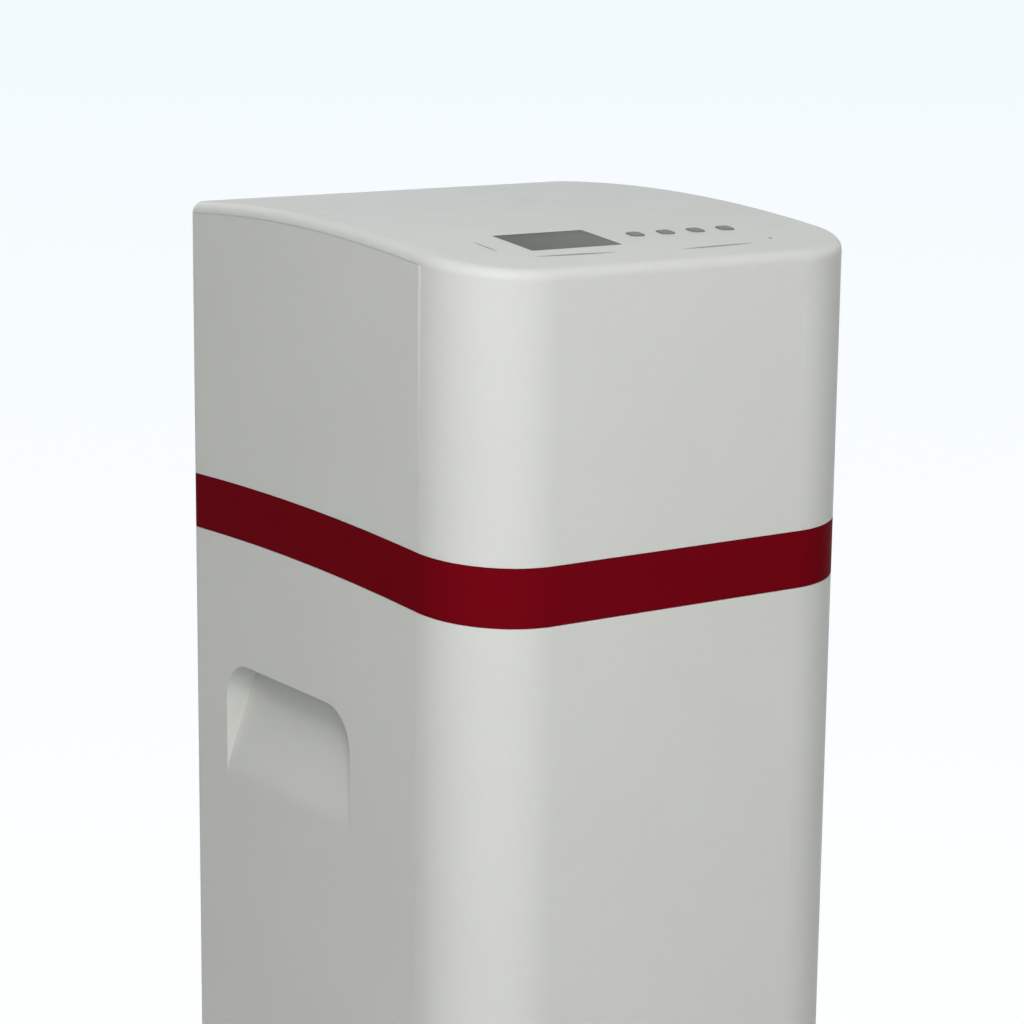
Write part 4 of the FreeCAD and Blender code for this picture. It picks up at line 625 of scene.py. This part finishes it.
def hollow_floor_verts(mesh, hollow_foot):
    """Indices of the points on the hollow floors of the frame's two grips, which are arcs in section."""
    near = FRONT + 150 * MM
    far = near + 174 * MM
    slack = 0.05 * MM
    fall = GRIP_HEAD_Z - hollow_foot
    radius = (GRIP_DEPTH**2 + fall**2) / (2 * GRIP_DEPTH)
    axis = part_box("cabinet_shell")[1].x - GRIP_DEPTH + radius
    found = set()
    for vert in mesh.vertices:
        x, y, z = vert.co
        beside = hollow_foot - slack < z < GRIP_HEAD_Z + slack and near - slack < y < far + slack
        if beside and abs(math.hypot(axis - abs(x), z - GRIP_HEAD_Z) - radius) < slack:
            found.add(vert.index)
    return found


def ramp_grips():
    """The cabinet shell with the ramps that the photograph shows, in place of its grips' hollow floors."""
    hollow_foot = 712 * MM
    kept_above = 760 * MM
    end_wall_normal = 0.5
    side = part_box("cabinet_shell")[1].x
    stretch = (kept_above - GRIP_FOOT_Z) / (kept_above - hollow_foot)
    mesh = NODES["cabinet_shell"].data.copy()
    normals = [corner.vector.copy() for corner in mesh.corner_normals]
    on_floor = hollow_floor_verts(mesh, hollow_foot)
    floors = []
    for face in mesh.polygons:
        if on_floor.issuperset(face.vertices) and abs(face.normal.y) < end_wall_normal:
            floors.append(face)
    for index in on_floor:
        place = mesh.vertices[index].co
        if place.z < kept_above:
            place.z = kept_above - (kept_above - place.z) * stretch
        place.x = math.copysign(side - grip_floor(place.z)[0], place.x)
    for face in floors:
        for corner in face.loop_indices:
            place = mesh.vertices[mesh.loops[corner].vertex_index].co
            slope = grip_floor(place.z)[1]
            normals[corner] = Vector((math.copysign(1.0, place.x), 0.0, slope)).normalized()
    mesh.normals_split_custom_set(normals)
    mesh.materials.clear()
    mesh.materials.append(FINISHES["shell_white"])
    shell = bpy.data.objects.new("cabinet_shell_ramped", mesh)
    bpy.context.scene.collection.objects.link(shell)
    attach(shell, "cabinet")
    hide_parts("cabinet_shell")


# Pipe threads and hose ridges


def threaded_adapter(side):
    """An adapter whose tail has a helical pipe thread, in place of the frame's plain one."""
    pitch = 2.309 * MM
    depth = 1.35 * MM
    steps = 72
    rows_in_pitch = 8
    node = f"{side}_adapter"
    low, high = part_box(node)
    centre = (low + high) / 2
    collar = centre.x - low.x
    bore = 12.5 * MM
    relief = 17 * MM
    crest = 16.6 * MM
    seal = (bore + collar) / 2
    seal_half = 1.4 * MM
    seal_depth = 1.3 * MM
    soft = 0.5 * MM
    clip_start = low.y + 6 * MM
    clip_end = low.y + 9 * MM
    thread_start = low.y + 22 * MM
    length = high.y - thread_start
    body = [
        (bore, low.y),
        (seal - seal_half, low.y),
        (seal - seal_half, low.y + seal_depth),
        (seal + seal_half, low.y + seal_depth),
        (seal + seal_half, low.y),
        (collar - soft, low.y),
        (collar, low.y + soft),
        (collar, clip_start - soft),
        (collar - soft, clip_start),
        (relief, clip_start),
        (relief, clip_end),
        (collar - soft, clip_end),
        (collar, clip_end + soft),
        (collar, thread_start - soft),
        (collar - soft, thread_start),
        (crest - depth, thread_start),
    ]

    def thread_radius(y):
        along = (y - thread_start) / pitch
        fade = min(1.0, along, (high.y - y) / pitch)
        return lambda turn: crest - depth * (1 - fade * (0.5 - 0.5 * math.cos(2 * math.pi * (along - turn))))

    rows = round(length / pitch * rows_in_pitch)
    thread = []
    for row in range(1, rows):
        y = thread_start + length * row / rows
        thread.append((thread_radius(y), y))
    end = [(crest - depth, high.y), (bore + soft, high.y), (bore, high.y - soft)]
    verts, faces = lathe(body + thread + end, centre.x, centre.z, steps)
    piece = add_piece(f"{side}_thread", verts, faces, "cabinet", "valve_black")
    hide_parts(node)


def hose_ridges():
    """Saw-toothed rings round the drain spigot, which hold a hose on."""
    elbow_radius = 9 * MM
    root = 6.3 * MM
    crest = 7.4 * MM
    pitch = 4.5 * MM
    ridges = 5
    crest_back = 0.75 * pitch
    root_back = 0.8 * pitch
    first_tip = 1 * MM
    steps = 48
    low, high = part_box("drain_elbow")
    centre_x = high.x - elbow_radius
    centre_z = (low.z + high.z) / 2
    for number in range(ridges):
        tip = high.y - first_tip - pitch * number
        rings = [(root, tip), (crest, tip - crest_back), (root, tip - root_back)]
        verts, faces = lathe(rings, centre_x, centre_z, steps)
        add_piece(f"hose_ridge_{number + 1}", verts, faces, "cabinet", "valve_black")


# Screws


def head_centres(mesh, outward):
    """Centre of each loose solid's end face, on the side that outward points to. The order is the same in
    each run, because the points are taken as they come in the mesh."""
    same_place = 0.001 * MM
    rim_depth = 0.02 * MM
    form = bmesh.new()
    form.from_mesh(mesh)
    bmesh.ops.remove_doubles(form, verts=form.verts, dist=same_place)
    found = set()
    centres = []
    for start in form.verts:
        if start in found:
            continue
        found.add(start)
        stack = [start]
        solid = []
        while stack:
            vert = stack.pop()
            solid.append(vert.co.copy())
            for edge in vert.link_edges:
                beside = edge.other_vert(vert)
                if beside not in found:
                    found.add(beside)
                    stack.append(beside)
        top = max(place.dot(outward) for place in solid)
        rim = [place for place in solid if place.dot(outward) > top - rim_depth]
        centres.append(sum(rim, Vector()) / len(rim))
    form.free()
    return centres


def cross_blades(centres, outward, reach):
    """Two crossed, tapered blades at each centre, which cut a driver's recess."""
    thin = reach * 0.24
    depth = reach * 0.6
    tip_share = 0.6
    top_share = 1.4
    turn = outward.to_track_quat("Z", "Y").to_matrix()
    verts = []
    faces = []
    for centre in centres:
        for long, wide in ((reach, thin), (thin, reach)):
            rings = []
            for z, taper in ((-depth, tip_share), (depth, top_share)):
                ring = []
                for x, y in ((-1, -1), (1, -1), (1, 1), (-1, 1)):
                    ring.append(centre + turn @ Vector((x * long * taper, y * wide * taper, z)))
                rings.append(ring)
            blade_verts, blade_faces = loft(rings)
            faces += [[len(verts) + index for index in face] for face in blade_faces]
            verts += blade_verts
    mesh = bpy.data.meshes.new("cross_blades")
    mesh.from_pydata(verts, [], faces)
    blades = bpy.data.objects.new("cross_blades", mesh)
    bpy.context.scene.collection.objects.link(blades)
    return blades


def recess_screws(node, body, outward, reach=1.7 * MM):
    """A node's screws again, each with a cross recess in its head that reaches this far from the middle."""
    outward = Vector(outward)
    mesh = NODES[node].data.copy()
    mesh.materials.clear()
    mesh.materials.append(FINISHES["steel"])
    piece = bpy.data.objects.new(f"{node}_crossed", mesh)
    bpy.context.scene.collection.objects.link(piece)
    blades = cross_blades(head_centres(mesh, outward), outward, reach)
    cut = piece.modifiers.new("recess", "BOOLEAN")
    cut.operation = "DIFFERENCE"
    cut.solver = "EXACT"
    cut.use_self = True
    cut.object = blades
    shaped = piece.evaluated_get(bpy.context.evaluated_depsgraph_get())
    piece.data = bpy.data.meshes.new_from_object(shaped)
    piece.modifiers.clear()
    bpy.data.objects.remove(blades)
    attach(piece, body)
    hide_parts(node)


def add_screws():
    up = (0, 0, 1)
    down = (0, 0, -1)
    back = (0, 1, 0)
    off_the_board = (0, math.sin(PANEL_SLOPE), -math.cos(PANEL_SLOPE))
    recess_screws("plate_screws", "cabinet", up)
    recess_screws("motor_screws", "cabinet", up)
    recess_screws("gear_screw", "valve_drive", up)
    recess_screws("foot_screws", "cabinet", down, 2.6 * MM)
    recess_screws("hood_screws", "hood", back)
    recess_screws("board_screws", "hood", off_the_board)


# Electronics on the control board's underside, seen when the hood is off


def board_block(name, x, y, size, edge, slot, finish=None):
    """A small body with softened edges that hangs under the board. Place and sizes are in millimetres."""
    long, wide, tall = size
    form = bmesh.new()
    bmesh.ops.create_cube(form, size=1.0)
    for vert in form.verts:
        vert.co = Vector((vert.co.x * long, vert.co.y * wide, vert.co.z * tall)) * MM
    bmesh.ops.bevel(form, geom=form.edges[:], offset=edge * MM, segments=2, affect="EDGES")
    form.verts.index_update()
    centre = Vector((x * MM, y * MM, BOARD_UNDERSIDE - tall / 2 * MM))
    panel = Vector((0, PANEL_Y, arch_z(PANEL_Y)))
    slope = Matrix.Rotation(PANEL_SLOPE, 3, "X")
    verts = [panel + slope @ (centre + vert.co) for vert in form.verts]
    faces = [[vert.index for vert in face.verts] for face in form.faces]
    form.free()
    add_piece(name, verts, faces, "hood", slot, finish)


def fill_board():
    """Chips, a row of plugs along the front and a row of small parts behind them."""
    chip_edge = 0.15
    plug_size = (14, 7, 6)
    plug_edge = 0.5
    plug_row_y = -36
    small_size = (2, 1.2, 0.7)
    small_edge = 0.1
    small_row_y = 20
    board_block("processor", 6, -4, (12, 12, 1.4), chip_edge, "valve_black", "chip_black")
    board_block("motor_driver", 36, 10, (8, 5, 1.2), chip_edge, "valve_black", "chip_black")
    for number, x in enumerate((-84, -62, 66, 92), start=1):
        board_block(f"plug_{number}", x, plug_row_y, plug_size, plug_edge, "clip_white")
    for number, x in enumerate((-6, 0, 18, 24, 48, 54, 60), start=1):
        board_block(f"small_part_{number}", x, small_row_y, small_size, small_edge, "ceramic")


# Studio


def area_light(name, azimuth, elevation, size, power):
    """A soft lamp that faces the object. Azimuth 0 is in front of the cabinet, and 90 on its left."""
    turn, rise = math.radians(azimuth), math.radians(elevation)
    way = Vector((-math.sin(turn) * math.cos(rise), -math.cos(turn) * math.cos(rise), math.sin(rise)))
    data = bpy.data.lights.new(name, "AREA")
    data.shape = "RECTANGLE"
    data.size, data.size_y = size
    data.energy = power
    lamp = bpy.data.objects.new(name, data)
    lamp.location = MIDDLE + way * LAMP_DISTANCE
    lamp.rotation_euler = way.to_track_quat("Z", "Y").to_euler()
    bpy.context.scene.collection.objects.link(lamp)


def build_lights():
    """A tall soft key before the left corner, a high fill, a low fill behind that gives the top no glare,
    and a weak one on the right."""
    tall = (1.0, 2.2)
    square = (2.0, 2.0)
    area_light("key", azimuth=38, elevation=30, size=tall, power=96)
    area_light("high_fill", azimuth=20, elevation=60, size=square, power=44)
    area_light("rear_fill", azimuth=180, elevation=16, size=square, power=26)
    area_light("right_fill", azimuth=-92, elevation=30, size=square, power=10)


def seen_directly(tree):
    """1 for what the camera sees, also in gloss or through glass, so that it can be plain white there."""
    path = tree.nodes.new("ShaderNodeLightPath")
    seen = path.outputs["Is Camera Ray"]
    for name in ("Is Glossy Ray", "Is Transmission Ray"):
        larger = tree.nodes.new("ShaderNodeMath")
        larger.operation = "MAXIMUM"
        tree.links.new(seen, larger.inputs[0])
        tree.links.new(path.outputs[name], larger.inputs[1])
        seen = larger.outputs["Value"]
    return seen


def mixed(tree, factor, first, second):
    mix = tree.nodes.new("ShaderNodeMixShader")
    if isinstance(factor, float):
        mix.inputs["Fac"].default_value = factor
    else:
        tree.links.new(factor, mix.inputs["Fac"])
    tree.links.new(first, mix.inputs[1])
    tree.links.new(second, mix.inputs[2])
    return mix.outputs["Shader"]


def build_world():
    """A pale backdrop for the camera, and a weaker, even light on the object."""
    world = bpy.data.worlds.new("studio")
    bpy.context.scene.world = world
    world.use_nodes = True
    tree = world.node_tree
    tree.nodes.clear()
    lit = tree.nodes.new("ShaderNodeBackground")
    lit.inputs["Color"].default_value = (1.0, 1.0, 1.0, 1.0)
    lit.inputs["Strength"].default_value = AMBIENT
    shown = tree.nodes.new("ShaderNodeBackground")
    shown.inputs["Color"].default_value = HIGH_WHITE
    output = tree.nodes.new("ShaderNodeOutputWorld")
    surface = mixed(tree, seen_directly(tree), lit.outputs["Background"], shown.outputs["Background"])
    tree.links.new(surface, output.inputs["Surface"])


def build_floor():
    """A pale floor that keeps the object's shadow near it, and turns into the backdrop's white further out.
    The white runs over the natural logarithm of the distance."""
    reach = 60.0
    shadow_ends = (0.6, 1.4)
    white_logs = (0.3, 3.4)
    white_near = 0.6
    mesh = bpy.data.meshes.new("floor")
    corners = [(-reach, -reach, 0), (reach, -reach, 0), (reach, reach, 0), (-reach, reach, 0)]
    mesh.from_pydata(corners, [], [(0, 1, 2, 3)])
    floor = bpy.data.objects.new("floor", mesh)
    bpy.context.scene.collection.objects.link(floor)
    shade = Shader("floor_pale", (0.8, 0.81, 0.82), 0.7)
    shade.tone(shade.noise(3, 3), 0.99, 1.01)
    distance = shade.add("VectorMath", operation="LENGTH")
    shade.link(shade.place, distance.inputs[0])
    away = distance.outputs["Value"]
    white = shade.add("ValToRGB")
    white.color_ramp.elements[0].color = LOW_WHITE
    white.color_ramp.elements[1].color = HIGH_WHITE
    further = shade.add("MapRange")
    further.inputs["From Min"].default_value, further.inputs["From Max"].default_value = white_logs
    shade.link(shade.math("LOGARITHM", away, math.e), further.inputs["Value"])
    shade.link(further.outputs["Result"], white.inputs["Fac"])
    glow = shade.add("Emission", Strength=1.0)
    shade.link(white.outputs["Color"], glow.inputs["Color"])
    lit = shade.bsdf.outputs["BSDF"]
    near = mixed(shade.tree, white_near, lit, glow.outputs["Emission"])
    shown = mixed(shade.tree, shade.spread(away, 0.0, 1.0, *shadow_ends), near, glow.outputs["Emission"])
    surface = mixed(shade.tree, seen_directly(shade.tree), lit, shown)
    shade.link(surface, shade.tree.nodes["Material Output"].inputs["Surface"])
    mesh.materials.append(shade.material)


bpy.context.scene.view_settings.view_transform = "Standard"
add_camera()
dress_nodes()
add_crease_shade_lines()
seam_tongue()
ramp_grips()
threaded_adapter("inlet")
threaded_adapter("outlet")
hose_ridges()
add_screws()
fill_board()
build_lights()
build_world()
build_floor()
